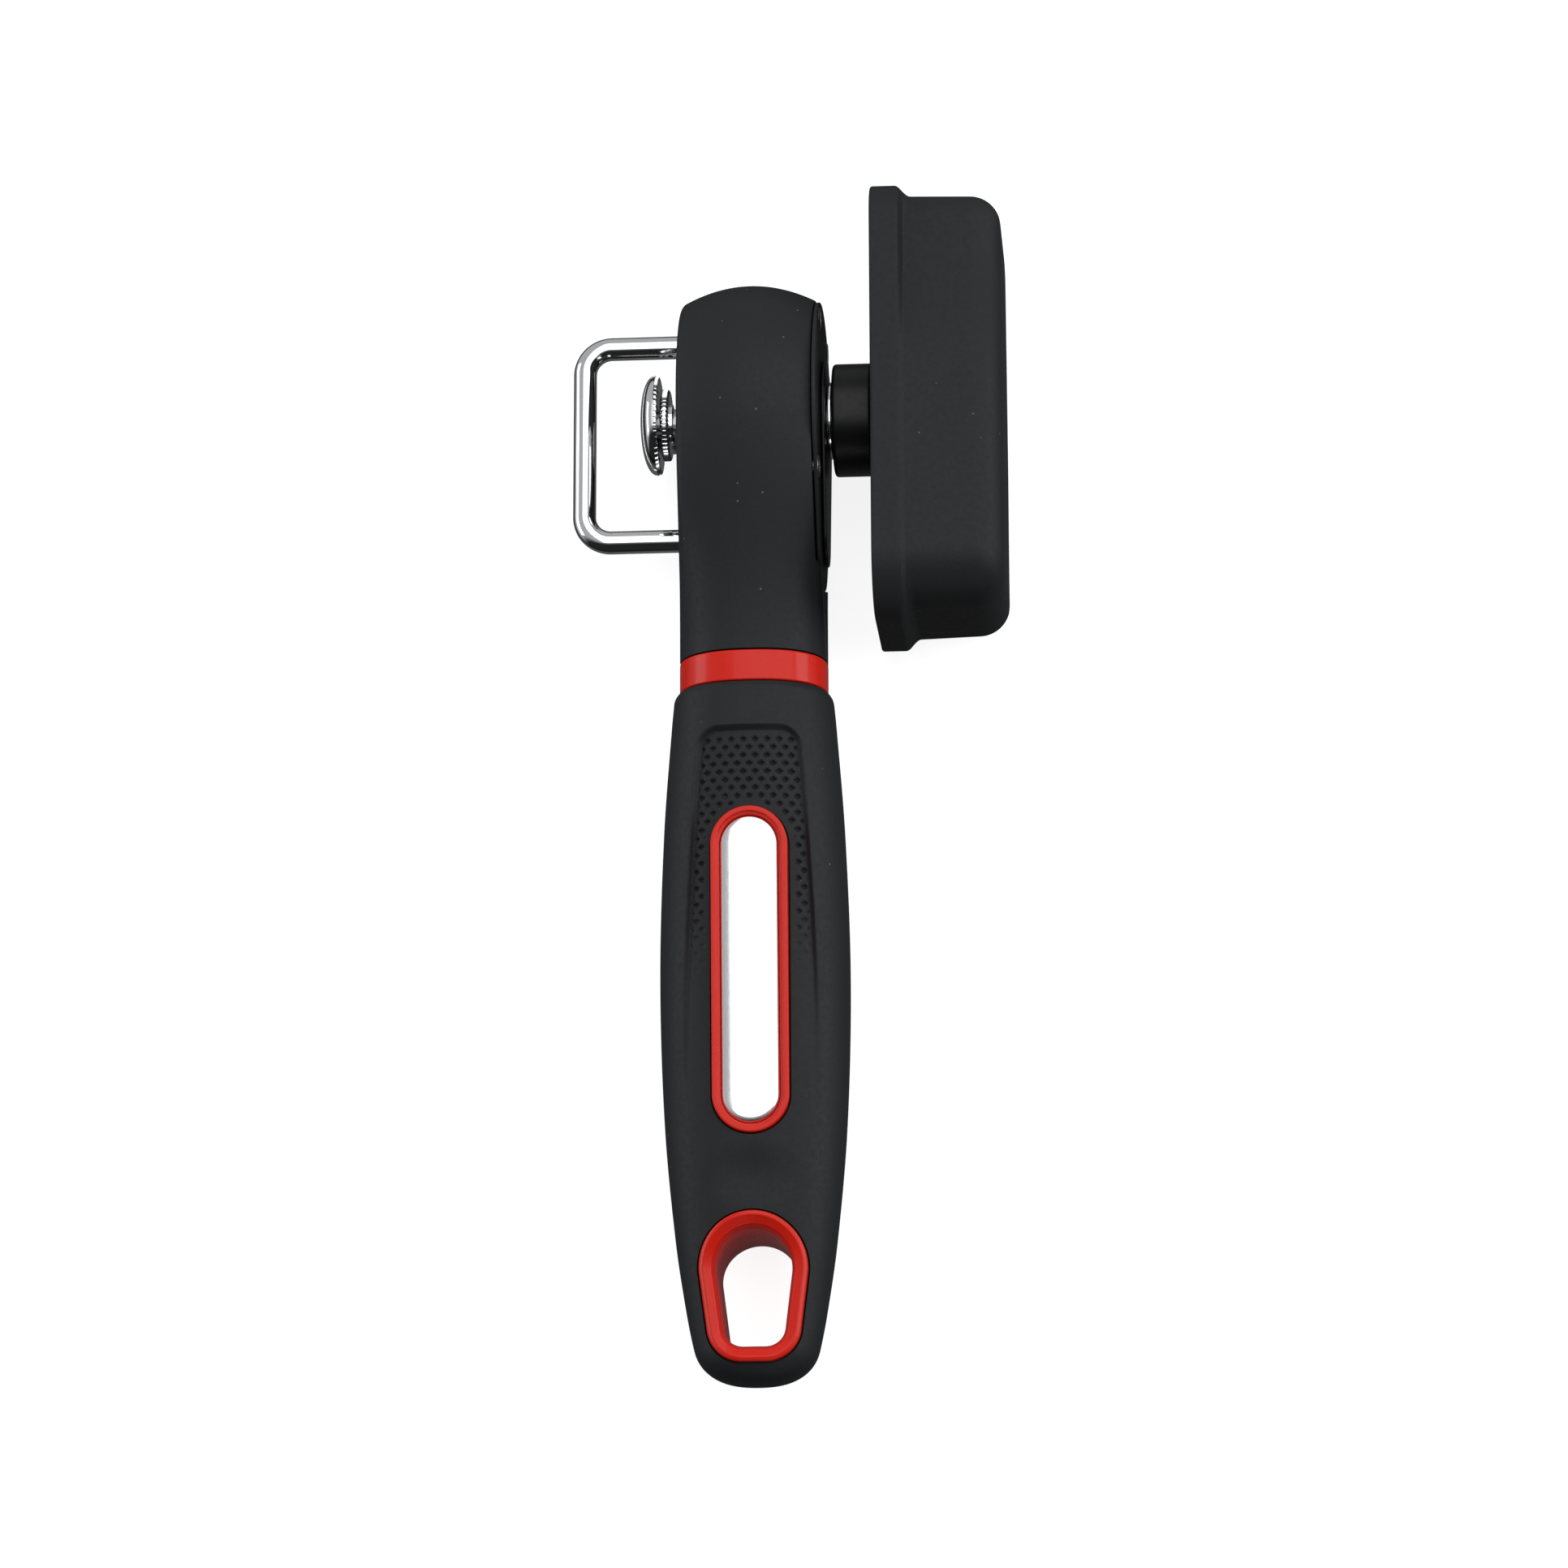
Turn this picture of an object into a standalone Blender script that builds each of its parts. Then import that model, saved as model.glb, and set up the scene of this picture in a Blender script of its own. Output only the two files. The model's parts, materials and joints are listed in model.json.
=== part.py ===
"""Side-cutting can opener with one straight handle, built from its separate pieces.

Sizes are in millimetres in the tool's own frame. The drive shaft runs along X through the origin, with the knob
at +X and the wheels at -X. The handle runs along -Y and the badge faces +Z. One empty tips the whole tool about
the shaft by LIE_ANGLE and lifts it by SHAFT_HEIGHT, so that it lies on the head's flat back and on the underside
of the grip, on the plane Z = 0.
"""

import math

import bpy
import bmesh
from mathutils import Matrix, Vector

MM = 0.001
GAP = 0.3
CUT_OVER = 4.0

# How the tool lies.
LIE_ANGLE = math.radians(2.80)
SHAFT_HEIGHT = 21.0

# Head: an upright disc round the shaft, with a crowned rim, that narrows into a neck.
HEAD_REACH = 24.1
HEAD_FRONT = 22.4
HEAD_BACK = 23.0
HEAD_SIDE = 12.0
HEAD_CROWN = 0.134
HEAD_EDGE = 0.035
PLATE_SEAT = 11.35
POCKET_FLOOR = -9.5
POCKET_RADIUS = 17.3
POCKET_CENTRE = (-0.5, -1.5)
NECK_END = -44.2
NECK_HALF_WIDTH = 12.7
NECK_HALF_DEPTH = 11.3
NECK_POWER = 2.3

# Neck ring and grip, from the neck towards the butt.
RING_TOP = NECK_END - GAP
RING_BOTTOM = RING_TOP - 5.4
RING_HALF_WIDTH = 12.85
RING_HALF_DEPTH = 11.45
GRIP_TOP = RING_BOTTOM - GAP
GRIP_BOTTOM = -169.3
GRIP_END_ROUND = 6.3
GRIP_WIDTH = ((-50.0, 13.7), (-56.0, 14.25), (-75.0, 15.6), (-100.0, 16.3), (-125.0, 15.55), (-145.0, 13.7),
              (-157.0, 11.9), (-163.0, 10.7), (-170.0, 8.9))
GRIP_FRONT = ((-50.0, 12.3), (-60.0, 12.9), (-75.0, 12.9), (-100.0, 12.2), (-128.0, 11.0), (-145.0, 9.7),
              (-163.0, 7.9), (-170.0, 7.2))
GRIP_BACK = ((-50.0, 12.3), (-75.0, 13.3), (-100.0, 13.5), (-128.0, 12.5), (-145.0, 10.5), (-163.0, 8.9),
             (-170.0, 8.3))
GRIP_MID = ((-50.0, 0.0), (-75.0, -0.4), (-100.0, -1.3), (-128.0, -2.2), (-145.0, -2.7), (-163.0, -3.2),
            (-170.0, -3.4))
GRIP_POWER = 2.35

# Badge tray and plate, let into the grip's front.
BADGE_CENTRE = -100.35
BEZEL_HALF = (27.8, 6.55)
BEZEL_RIM = 1.5
BEZEL_DEPTH = 2.4
BEZEL_PROUD = 0.5

# Hanging hole: the convex hull of three circles (x, y, radius), wide at its top and narrower at its foot.
HOLE_CIRCLES = ((0.0, -150.4, 6.5), (-1.85, -160.0, 3.4), (1.85, -160.0, 3.4))
LIP_WIDTH = 2.75
LIP_THICK = 1.2
LINER_WALL = 1.4

# Handle core: a bar with a tongue that reaches up through the ring into the neck.
TONGUE_TOP = -22.0
TONGUE_X = (-4.6, 7.0)
TONGUE_HALF_DEPTH = 6.0
CORE_HALF = (9.5, 6.0)
CORE_TAPER = 1.0
CORE_END = -137.0

# Eccentric sleeve: it carries the shaft off its own centre, so turning it closes the wheels on the rim.
SLEEVE_RADIUS = 5.6
ECCENTRICITY = 1.3
CLOSE_TRAVEL = 2.4
SHAFT_RADIUS = 2.75
CUTTER_AIM = math.radians(14.5)
FEED_RADIUS = 8.75
FEED_TEETH = 48
ROLLER_TEETH = 44
CUTTER_RADIUS = 4.9
CLOSED_NIP = 0.15
RUN = 0.3

# Wire bail.
BAIL_WIRE = 2.05
BAIL_Z = -11.5
BAIL_LEG_Y = 18.1
BAIL_MIDDLE_Y = 0.35
BAIL_REACH = -31.15
BAIL_BEND = 4.8
BAIL_ROOT = -4.0

# Knob: a key-shaped shell with two tight and two full corners, so it looks the same after half a turn.
KNOB_FACE = 21.5
KNOB_FLANGE = 4.8
KNOB_END = 44.2
KNOB_HALF = (38.9, 18.0)
KNOB_TIGHT = 7.0
KNOB_FULL = 11.0
KNOB_EDGE = 5.4
HUB_RADIUS = 9.9
HUB_FACE = 14.2
SQUARE = 3.8
SQUARE_START = 16.0

# Fasteners and the stop, as (y, z) places, places along Y, and angles round the sleeve.
COVER_SCREWS = ((15.9, 9.0), (15.9, -9.6), (-12.6, 13.6), (-12.6, -13.6))
TANG_SCREWS = (-29.0, -37.0)
PLATE_X = (-7.2, -5.2)
LUG_ANGLE = math.radians(150)
LUG_HALF_ANGLE = math.radians(9.0)
LUG_SLOPE_ANGLE = math.radians(10.5)
COLLAR_X = (-3.5, -0.9)
COLLAR_RADIUS = 8.4
LUG_RADIUS = 11.2
STOP_PIN_CIRCLE = 10.3

# The line from the shaft to the cutter, and the places that follow from it, as (y, z).
AIM = (math.sin(CUTTER_AIM), -math.cos(CUTTER_AIM))
ACROSS = (math.cos(CUTTER_AIM), math.sin(CUTTER_AIM))
SLEEVE_BACK_OFF = math.sqrt(ECCENTRICITY**2 - (CLOSE_TRAVEL / 2) ** 2)
SLEEVE_CENTRE = tuple(AIM[i] * CLOSE_TRAVEL / 2 - ACROSS[i] * SLEEVE_BACK_OFF for i in (0, 1))
CUTTER_DISTANCE = FEED_RADIUS + CLOSE_TRAVEL + CLOSED_NIP + CUTTER_RADIUS
CUTTER_CENTRE = tuple(AIM[i] * CUTTER_DISTANCE for i in (0, 1))
CLOSE_ANGLE = 2 * math.asin(CLOSE_TRAVEL / 2 / ECCENTRICITY)
SHAFT = (0.0, 0.0)


def material(name, colour, roughness, metallic=0.0):
    made = bpy.data.materials.new(name)
    made.use_nodes = True
    made.diffuse_color = (*colour, 1.0)
    shader = made.node_tree.nodes["Principled BSDF"]
    shader.inputs["Base Color"].default_value = (*colour, 1.0)
    shader.inputs["Roughness"].default_value = roughness
    shader.inputs["Metallic"].default_value = metallic
    return made


def make_materials():
    return {
        "soft_black": material("soft_black", (0.030, 0.031, 0.033), 0.62),
        "hard_black": material("hard_black", (0.022, 0.022, 0.024), 0.35),
        "gloss_red": material("gloss_red", (0.55, 0.030, 0.022), 0.18),
        "polished_steel": material("polished_steel", (0.86, 0.86, 0.87), 0.12, 1.0),
        "chrome_wire": material("chrome_wire", (0.82, 0.82, 0.83), 0.06, 1.0),
        "plain_steel": material("plain_steel", (0.55, 0.55, 0.56), 0.35, 1.0),
        "bronze": material("bronze", (0.60, 0.38, 0.20), 0.35, 1.0),
        "bearing_nylon": material("bearing_nylon", (0.78, 0.77, 0.72), 0.45),
    }


def smooth_step(value):
    value = min(max(value, 0.0), 1.0)
    return value * value * (3 - 2 * value)


def follow(stations, at):
    """The smooth curve through (position, value) stations that run towards -Y, read at one position."""
    points = sorted(stations)
    at = min(max(at, points[0][0]), points[-1][0])
    index = max(i for i in range(len(points) - 1) if points[i][0] <= at)

    def slope(i):
        low, high = max(i - 1, 0), min(i + 1, len(points) - 1)
        return (points[high][1] - points[low][1]) / (points[high][0] - points[low][0])

    (x0, v0), (x1, v1) = points[index], points[index + 1]
    span = x1 - x0
    t = (at - x0) / span
    return (
        v0 * (2 * t**3 - 3 * t**2 + 1)
        + slope(index) * span * (t**3 - 2 * t**2 + t)
        + v1 * (3 * t**2 - 2 * t**3)
        + slope(index + 1) * span * (t**3 - t**2)
    )


class Tool:
    """The empties that the pieces hang on, and the means to add a piece to one of them."""

    def __init__(self):
        self.materials = make_materials()
        self.root = bpy.data.objects.new("can_opener", None)
        bpy.context.scene.collection.objects.link(self.root)
        self.root.location = (0, 0, SHAFT_HEIGHT * MM)
        self.root.rotation_euler = (LIE_ANGLE, 0, 0)
        self.pivots = {}
        self.helpers = 0

    def add_body(self, name, centre):
        empty = bpy.data.objects.new(name, None)
        bpy.context.scene.collection.objects.link(empty)
        empty.parent = self.root
        empty.location = (0, centre[0] * MM, centre[1] * MM)
        self.pivots[name] = (empty, Vector((0, centre[0], centre[1])))

    def place(self, name, data, body, slot):
        """Links an object whose data are in tool-frame millimetres, and hangs it on its body."""
        obj = bpy.data.objects.new(name, data)
        bpy.context.scene.collection.objects.link(obj)
        empty, pivot = self.pivots[body]
        data.transform(Matrix.Scale(MM, 4) @ Matrix.Translation(-pivot))
        obj.parent = empty
        data.materials.append(self.materials[slot])
        return obj

    def piece(self, name, mesh, body, slot, sharp=35):
        obj = self.place(name, mesh, body, slot)
        mesh.shade_smooth()
        mesh.set_sharp_from_angle(angle=math.radians(sharp))
        return obj

    def combine(self, obj, mesh, body, operation):
        """Cuts a hidden helper, in tool-frame millimetres, out of a piece, or joins it on."""
        self.helpers += 1
        helper = self.place(f"helper_{self.helpers:02d}", mesh, body, "hard_black")
        helper.hide_render = True
        helper.display_type = "WIRE"
        modifier = obj.modifiers.new(helper.name, "BOOLEAN")
        modifier.operation = operation
        modifier.solver = "EXACT"
        modifier.object = helper

    def cut(self, obj, mesh, body="handle"):
        self.combine(obj, mesh, body, "DIFFERENCE")

    def join(self, obj, mesh, body="handle"):
        self.combine(obj, mesh, body, "UNION")


def mesh_of(points, faces):
    mesh = bpy.data.meshes.new("mesh")
    mesh.from_pydata(points, [], faces)
    work = bmesh.new()
    work.from_mesh(mesh)
    bmesh.ops.remove_doubles(work, verts=work.verts, dist=1e-4)
    bmesh.ops.recalc_face_normals(work, faces=work.faces)
    work.to_mesh(mesh)
    work.free()
    return mesh


def loft(loops, closed=False):
    """A skin over loops that all hold the same number of points: capped at both ends, or joined last to first."""
    count = len(loops[0])
    points = [point for loop in loops for point in loop]
    faces = []
    for k in range(len(loops) if closed else len(loops) - 1):
        here, there = k * count, (k + 1) % len(loops) * count
        for i in range(count):
            j = (i + 1) % count
            faces.append((here + i, here + j, there + j, there + i))
    if not closed:
        faces.append(tuple(range(count))[::-1])
        faces.append(tuple(range(len(points) - count, len(points))))
    return mesh_of(points, faces)


def on_circle(radius, angle, centre=SHAFT):
    return centre[0] + radius * math.cos(angle), centre[1] + radius * math.sin(angle)


def circle(x, radius, centre=SHAFT, count=24):
    return [(x, *on_circle(radius, 2 * math.pi * i / count, centre)) for i in range(count)]


def turned(profile, centre=SHAFT, count=24):
    """A solid bar turned about an axis along X. The profile holds (x, radius) from one end to the other."""
    return loft([circle(x, radius, centre, count) for x, radius in profile])


def turned_ring(profile, centre=SHAFT, count=24):
    """A turned piece with a hole through it. The profile is the closed outline of its section."""
    return loft([circle(x, radius, centre, count) for x, radius in profile], closed=True)


def washer(x_low, x_high, inner, outer, centre=SHAFT, count=24):
    return turned_ring(((x_low, inner), (x_low, outer), (x_high, outer), (x_high, inner)), centre, count)


def box(low, high):
    x0, y0, z0 = low
    x1, y1, z1 = high
    return loft([[(x, y0, z0), (x, y1, z0), (x, y1, z1), (x, y0, z1)] for x in (x0, x1)])


def hull(circles, count):
    """The convex hull of circles, as (u, v, direction u, direction v), one point for each direction."""
    points = []
    for i in range(count):
        angle = 2 * math.pi * (i + 0.5) / count
        du, dv = math.cos(angle), math.sin(angle)
        u, v, radius = max(circles, key=lambda c: c[0] * du + c[1] * dv + c[2])
        points.append((u + radius * du, v + radius * dv, du, dv))
    return points


# ---------------------------------------------------------------- head


def head_outline():
    """The head's and neck's outline in Y and Z, each point with its spine point, from neck front to neck back."""
    head_steps = 13
    neck_steps = 6

    def rim(angle, depth, power):
        cosine, sine = math.cos(angle), math.sin(angle)
        scale = (abs(cosine) ** power + abs(sine) ** power) ** (-1 / power)
        return HEAD_REACH * cosine * scale, depth * sine * scale

    def half(depth, power, side, last):
        points = [rim(last * i / head_steps, depth, power) for i in range(head_steps + 1)]
        y0, z0 = points[-1]
        y_near, z_near = rim(last - 0.01, depth, power)
        run = y0 - NECK_END
        slope = (z_near - z0) / (y_near - y0)
        outline = [(y, side * z, 0.0) for y, z in points]
        for i in range(1, neck_steps + 1):
            t = i / neck_steps
            z = (
                z0 * (2 * t**3 - 3 * t**2 + 1)
                - slope * run * (t**3 - 2 * t**2 + t)
                + NECK_HALF_DEPTH * (3 * t**2 - 2 * t**3)
                - 0.05 * run * (t**3 - t**2)
            )
            outline.append((y0 - run * t, side * z, (y0 - run * t) * smooth_step(2.5 * t)))
        return outline

    front = half(HEAD_FRONT, 2.05, 1, math.radians(106))
    back = half(HEAD_BACK, 3.6, -1, math.radians(128))
    end = [(NECK_END, NECK_HALF_DEPTH * z, NECK_END) for z in (-0.67, -0.33, 0.0, 0.33, 0.67)]
    return front[::-1] + back[1:] + end


def head_loop(outline, across):
    """One slice of the head at a share of its half-width, from -1 to 1."""
    loop = []
    crown = 1 - HEAD_CROWN * across**2 - HEAD_EDGE * max(0, abs(across) - 0.93) / 0.07
    round_section = (1 - min(abs(across), 0.985) ** NECK_POWER) ** (1 / NECK_POWER)
    for y, z, spine in outline:
        blend = smooth_step((-14.0 - y) / (-14.0 - NECK_END))
        share = (1 - blend) * crown + blend * round_section
        half_width = HEAD_SIDE + (NECK_HALF_WIDTH - HEAD_SIDE) * blend
        y_share = crown if spine == 0.0 else 1.0
        loop.append((half_width * across, y * y_share, z * share))
    return loop


def plate_circles(inset):
    """The side plate's outline: the round head and a tab that points down the neck."""
    return ((0.0, 0.0, 20.8 - inset), (-20.5, 0.0, 10.2 - inset))


def make_head_shell(tool):
    outline = head_outline()
    slices = (-1.0, -0.93, -0.75, -0.4, 0.0, 0.4, 0.75, 0.93, 1.0)
    shell = tool.piece("head_shell", loft([head_loop(outline, s) for s in slices]), "handle", "soft_black")
    # The flat back lies level once the tool is tipped.
    land = box((-20, -60, -40), (20, 60, -SHAFT_HEIGHT))
    land.transform(Matrix.Rotation(-LIE_ANGLE, 4, "X"))
    tool.cut(shell, land)
    seat = hull(((0.0, 0.0, 30.0), (-20.5, 0.0, 10.5)), 32)
    tool.cut(shell, loft([[(x, u, v) for u, v, _, _ in seat] for x in (PLATE_SEAT, 20.0)]))
    pocket = [(POCKET_FLOOR, POCKET_RADIUS), (PLATE_SEAT + CUT_OVER, POCKET_RADIUS)]
    tool.cut(shell, turned(pocket, POCKET_CENTRE, 32))
    slot_high = TONGUE_HALF_DEPTH + GAP
    slot = box((POCKET_FLOOR, NECK_END - CUT_OVER, -slot_high), (TONGUE_X[1] + GAP, -14.0, slot_high))
    tool.cut(shell, slot)
    tool.cut(shell, turned([(-16, 7.1), (-8, 7.1)], SLEEVE_CENTRE))
    tool.cut(shell, turned([(-16, 2.9), (-3.6, 2.9)], CUTTER_CENTRE, 20))
    wire_hole = BAIL_WIRE + GAP
    for y in (BAIL_MIDDLE_Y + BAIL_LEG_Y, BAIL_MIDDLE_Y - BAIL_LEG_Y):
        tool.cut(shell, turned([(-20, wire_hole), (BAIL_ROOT + GAP, wire_hole)], (y, BAIL_Z), 16))
    for place in COVER_SCREWS:
        tool.cut(shell, turned([(2.5, 1.3), (20, 1.3)], place, 10))


def make_frame_plate(tool):
    """The steel plate on the pocket's floor, which carries the left bush, the cutter's axle and the tang."""
    outline = hull(((0.0, 0.0, 12.5), (CUTTER_CENTRE[0], CUTTER_CENTRE[1] + 0.2, 3.0), (-8.0, 0.0, 9.0)), 32)
    low, high = PLATE_X
    disc = loft([[(x, u, v) for u, v, _, _ in outline] for x in (low, high)])
    plate = tool.piece("frame_plate", disc, "handle", "plain_steel")
    tool.join(plate, box((low, -41.0, -5.4), (high, -10.0, 5.4)))
    tool.cut(plate, turned([(-12, 7.1), (0, 7.1)], SLEEVE_CENTRE))
    tool.cut(plate, turned([(-12, 1.9), (0, 1.9)], CUTTER_CENTRE, 16))
    for y in TANG_SCREWS:
        tool.cut(plate, turned([(-12, 1.5), (0, 1.5)], (y, 0.0), 12))


def make_side_plate(tool):
    low, high = PLATE_SEAT + 0.25, PLATE_SEAT + 0.95
    outline = hull(plate_circles(0.0), 40)
    inner = hull(plate_circles(0.25), 40)
    loops = [[(low, u, v) for u, v, _, _ in outline]]
    loops.append([(high - 0.25, u, v) for u, v, _, _ in outline])
    loops.append([(high, u, v) for u, v, _, _ in inner])
    plate = tool.piece("side_plate", loft(loops), "handle", "soft_black")
    tool.cut(plate, turned([(low - 3, 8.5), (high + 3, 8.5)], SLEEVE_CENTRE))
    for place in COVER_SCREWS:
        tool.cut(plate, turned([(low - 3, 2.25), (high + 3, 2.25)], place, 12))


def make_cover_screws(tool):
    for number, place in enumerate(COVER_SCREWS, 1):
        low = PLATE_SEAT + 0.25
        profile = [(3.2, 0.6), (4.0, 1.0), (low, 1.0), (low, 1.95), (low + 0.7, 1.95), (low + 0.9, 1.6)]
        screw = tool.piece(f"cover_screw_{number}", turned(profile, place, 12), "handle", "plain_steel")
        y, z = place
        tool.cut(screw, box((low + 0.45, y - 1.2, z - 0.25), (low + 2, y + 1.2, z + 0.25)))


def make_bearing_cover(tool):
    """The raised black cover over the shaft's right end: a teardrop flange with a boss that holds the right bush."""
    low = PLATE_SEAT + 0.95 + 0.25
    high = low + 0.55
    circles = ((0.2, 0.0, 10.4), (-21.0, 0.0, 5.6))
    outer = hull(circles, 32)
    inner = hull(tuple((y, z, r - 0.3) for y, z, r in circles), 32)
    loops = [
        [(low, u, v) for u, v, _, _ in outer],
        [(high - 0.25, u, v) for u, v, _, _ in outer],
        [(high, u, v) for u, v, _, _ in inner],
    ]
    cover = tool.piece("bearing_cover", loft(loops), "handle", "hard_black")
    tool.join(cover, turned([(7.6, 8.2), (low + 0.3, 8.2)], SLEEVE_CENTRE))
    tool.cut(cover, turned([(2, 7.1), (11.6, 7.1)], SLEEVE_CENTRE))
    middle = tuple(a * CLOSE_TRAVEL / 2 for a in AIM)
    tool.cut(cover, turned([(11.0, 5.4), (16, 5.4)], middle))


def make_bushes(tool):
    inner = SLEEVE_RADIUS + RUN
    left = ((-11.7, inner), (-11.7, 6.8), (-4.9, 6.8), (-4.9, 8.2), (-3.9, 8.2), (-3.9, inner))
    tool.piece("left_bush", turned_ring(left, SLEEVE_CENTRE), "handle", "bearing_nylon")
    right = ((6.3, inner), (6.3, 8.2), (7.3, 8.2), (7.3, 6.8), (11.2, 6.8), (11.2, inner))
    tool.piece("right_bush", turned_ring(right, SLEEVE_CENTRE), "handle", "bearing_nylon")


def make_tang_screws(tool):
    for number, y in enumerate(TANG_SCREWS, 1):
        profile = [(-9.1, 1.5), (-8.8, 2.3), (-7.45, 2.3), (-7.45, 1.15), (2.4, 1.15), (3.2, 0.6)]
        tool.piece(f"tang_screw_{number}", turned(profile, (y, 0.0), 12), "handle", "plain_steel")


def make_stop_pins(tool):
    for number, angle in enumerate(stop_angles(), 1):
        centre = on_circle(STOP_PIN_CIRCLE, angle, SLEEVE_CENTRE)
        pin = turned([(PLATE_X[1] + GAP, 1.1), (COLLAR_X[1], 1.1), (COLLAR_X[1] + GAP, 0.8)], centre, 12)
        tool.piece(f"stop_pin_{number}", pin, "handle", "plain_steel")


def stop_angles():
    """Where the two stop pins stand round the sleeve: just past the lug at its open and closed ends."""
    reach = LUG_HALF_ANGLE + LUG_SLOPE_ANGLE
    return LUG_ANGLE + reach, LUG_ANGLE - CLOSE_ANGLE - reach


# ---------------------------------------------------------------- handle


def grip_surface(x, y, side):
    """The height of the grip's skin at a point, on the front (side 1) or the back (side -1)."""
    share = min(abs(x) / follow(GRIP_WIDTH, y), 1.0)
    depth = follow(GRIP_FRONT if side > 0 else GRIP_BACK, y)
    return follow(GRIP_MID, y) + side * depth * (1 - share**GRIP_POWER) ** (1 / GRIP_POWER)


def oval(y, width, front, back, middle=0.0, count=32, power=GRIP_POWER):
    points = []
    for i in range(count):
        angle = 2 * math.pi * (i + 0.5) / count
        cosine, sine = math.cos(angle), math.sin(angle)
        x = width * math.copysign(abs(cosine) ** (2 / power), cosine)
        z = (front if sine > 0 else back) * math.copysign(abs(sine) ** (2 / power), sine)
        points.append((x, y, middle + z))
    return points


def make_neck_ring(tool):
    loops = []
    for y, inset in ((RING_TOP, 0.2), (RING_TOP - 0.4, 0), (RING_BOTTOM + 0.4, 0), (RING_BOTTOM, 0.2)):
        loops.append(oval(y, RING_HALF_WIDTH - inset, RING_HALF_DEPTH - inset, RING_HALF_DEPTH - inset))
    ring = tool.piece("neck_ring", loft(loops), "handle", "gloss_red")
    high = TONGUE_HALF_DEPTH + GAP
    tool.cut(ring, box((TONGUE_X[0] - GAP, RING_BOTTOM - 5, -high), (TONGUE_X[1] + GAP, RING_TOP + 5, high)))


def core_loops(grow):
    """The handle core as box-shaped sections along Y, larger by a clearance for the hole that it fills."""
    left, right = TONGUE_X
    wide, deep = CORE_HALF
    stations = (
        (TONGUE_TOP, left, right, TONGUE_HALF_DEPTH),
        (-54.0, left, right, TONGUE_HALF_DEPTH),
        (-60.0, -wide, wide, deep),
        (-124.0, -wide, wide, deep - CORE_TAPER),
        (CORE_END, -6.0, 6.0, 4.0),
    )
    loops = []
    for y, low, high, half_depth in stations:
        x0, x1, z = low - grow, high + grow, half_depth + grow
        bevel = 1.2
        y = y + grow if y == TONGUE_TOP else (y - grow if y == CORE_END else y)
        loops.append([
            (x0 + bevel, y, -z), (x1 - bevel, y, -z), (x1, y, -z + bevel), (x1, y, z - bevel),
            (x1 - bevel, y, z), (x0 + bevel, y, z), (x0, y, z - bevel), (x0, y, -z + bevel),
        ])
    return loops


def make_handle_core(tool):
    core = tool.piece("handle_core", loft(core_loops(0.0)), "handle", "hard_black")
    for y in TANG_SCREWS:
        tool.cut(core, turned([(-8, 1.45), (3.8, 1.45)], (y, 0.0), 12))


def grip_stations():
    """Where the grip's sections stand, and how far each is drawn in to round its two ends."""
    stations = [(GRIP_TOP, 0.955), (GRIP_TOP - 0.5, 0.985), (GRIP_TOP - 1.4, 1.0)]
    straight_end = GRIP_BOTTOM + GRIP_END_ROUND
    steps = 12
    for i in range(1, steps + 1):
        stations.append((GRIP_TOP - 1.4 + (straight_end - GRIP_TOP + 1.4) * i / steps, 1.0))
    for share in (0.35, 0.6, 0.78, 0.9, 0.97, 1.0):
        drawn = (1 - (share * 0.995) ** 2.6) ** (1 / 2.6)
        stations.append((straight_end - GRIP_END_ROUND * share, drawn))
    return stations


def hole_loop(offset, height):
    """A loop round the hanging hole, set out from it, with its height given by a function of x and y."""
    loop = []
    for x, y, dx, dy in hull(HOLE_CIRCLES, 28):
        x, y = x + dx * offset, y + dy * offset
        loop.append((x, y, height(x, y)))
    return loop


def badge_loop(half, z_low):
    """A stadium round the badge's centre, at a height over the tilted badge plane."""
    length, width = half
    circles = ((0.0, length - width, width), (0.0, width - length, width))
    reach = BEZEL_HALF[0]
    low = grip_surface(0.0, BADGE_CENTRE - reach, 1)
    high = grip_surface(0.0, BADGE_CENTRE + reach, 1)
    slope = (high - low) / (2 * reach)
    middle = (low + high) / 2 + z_low
    return [(x, BADGE_CENTRE + y, middle + slope * y) for x, y, _, _ in hull(circles, 32)]


def make_soft_grip(tool):
    loops = []
    for y, drawn in grip_stations():
        width = follow(GRIP_WIDTH, y) * drawn
        front, back = follow(GRIP_FRONT, y) * drawn, follow(GRIP_BACK, y) * drawn
        loops.append(oval(y, width, front, back, follow(GRIP_MID, y)))
    grip = tool.piece("soft_grip", loft(loops), "handle", "soft_black")
    bore = core_loops(GAP)
    bore[0] = [(x, GRIP_TOP + CUT_OVER, z) for x, _, z in bore[0]]
    tool.cut(grip, loft(bore))
    length, width = BEZEL_HALF
    half = (length + GAP, width + GAP)
    tool.cut(grip, loft([badge_loop(half, -BEZEL_DEPTH - GAP), badge_loop(half, 6.0)]))
    seat = LIP_WIDTH + GAP
    liner = LINER_WALL + GAP
    loops = [
        hole_loop(liner, lambda x, y: -20.0),
        hole_loop(liner, lambda x, y: grip_surface(x, y, 1) - LIP_THICK - GAP),
        hole_loop(seat, lambda x, y: grip_surface(x, y, 1) - LIP_THICK - GAP),
        hole_loop(seat, lambda x, y: 20.0),
    ]
    tool.cut(grip, loft(loops))


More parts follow.
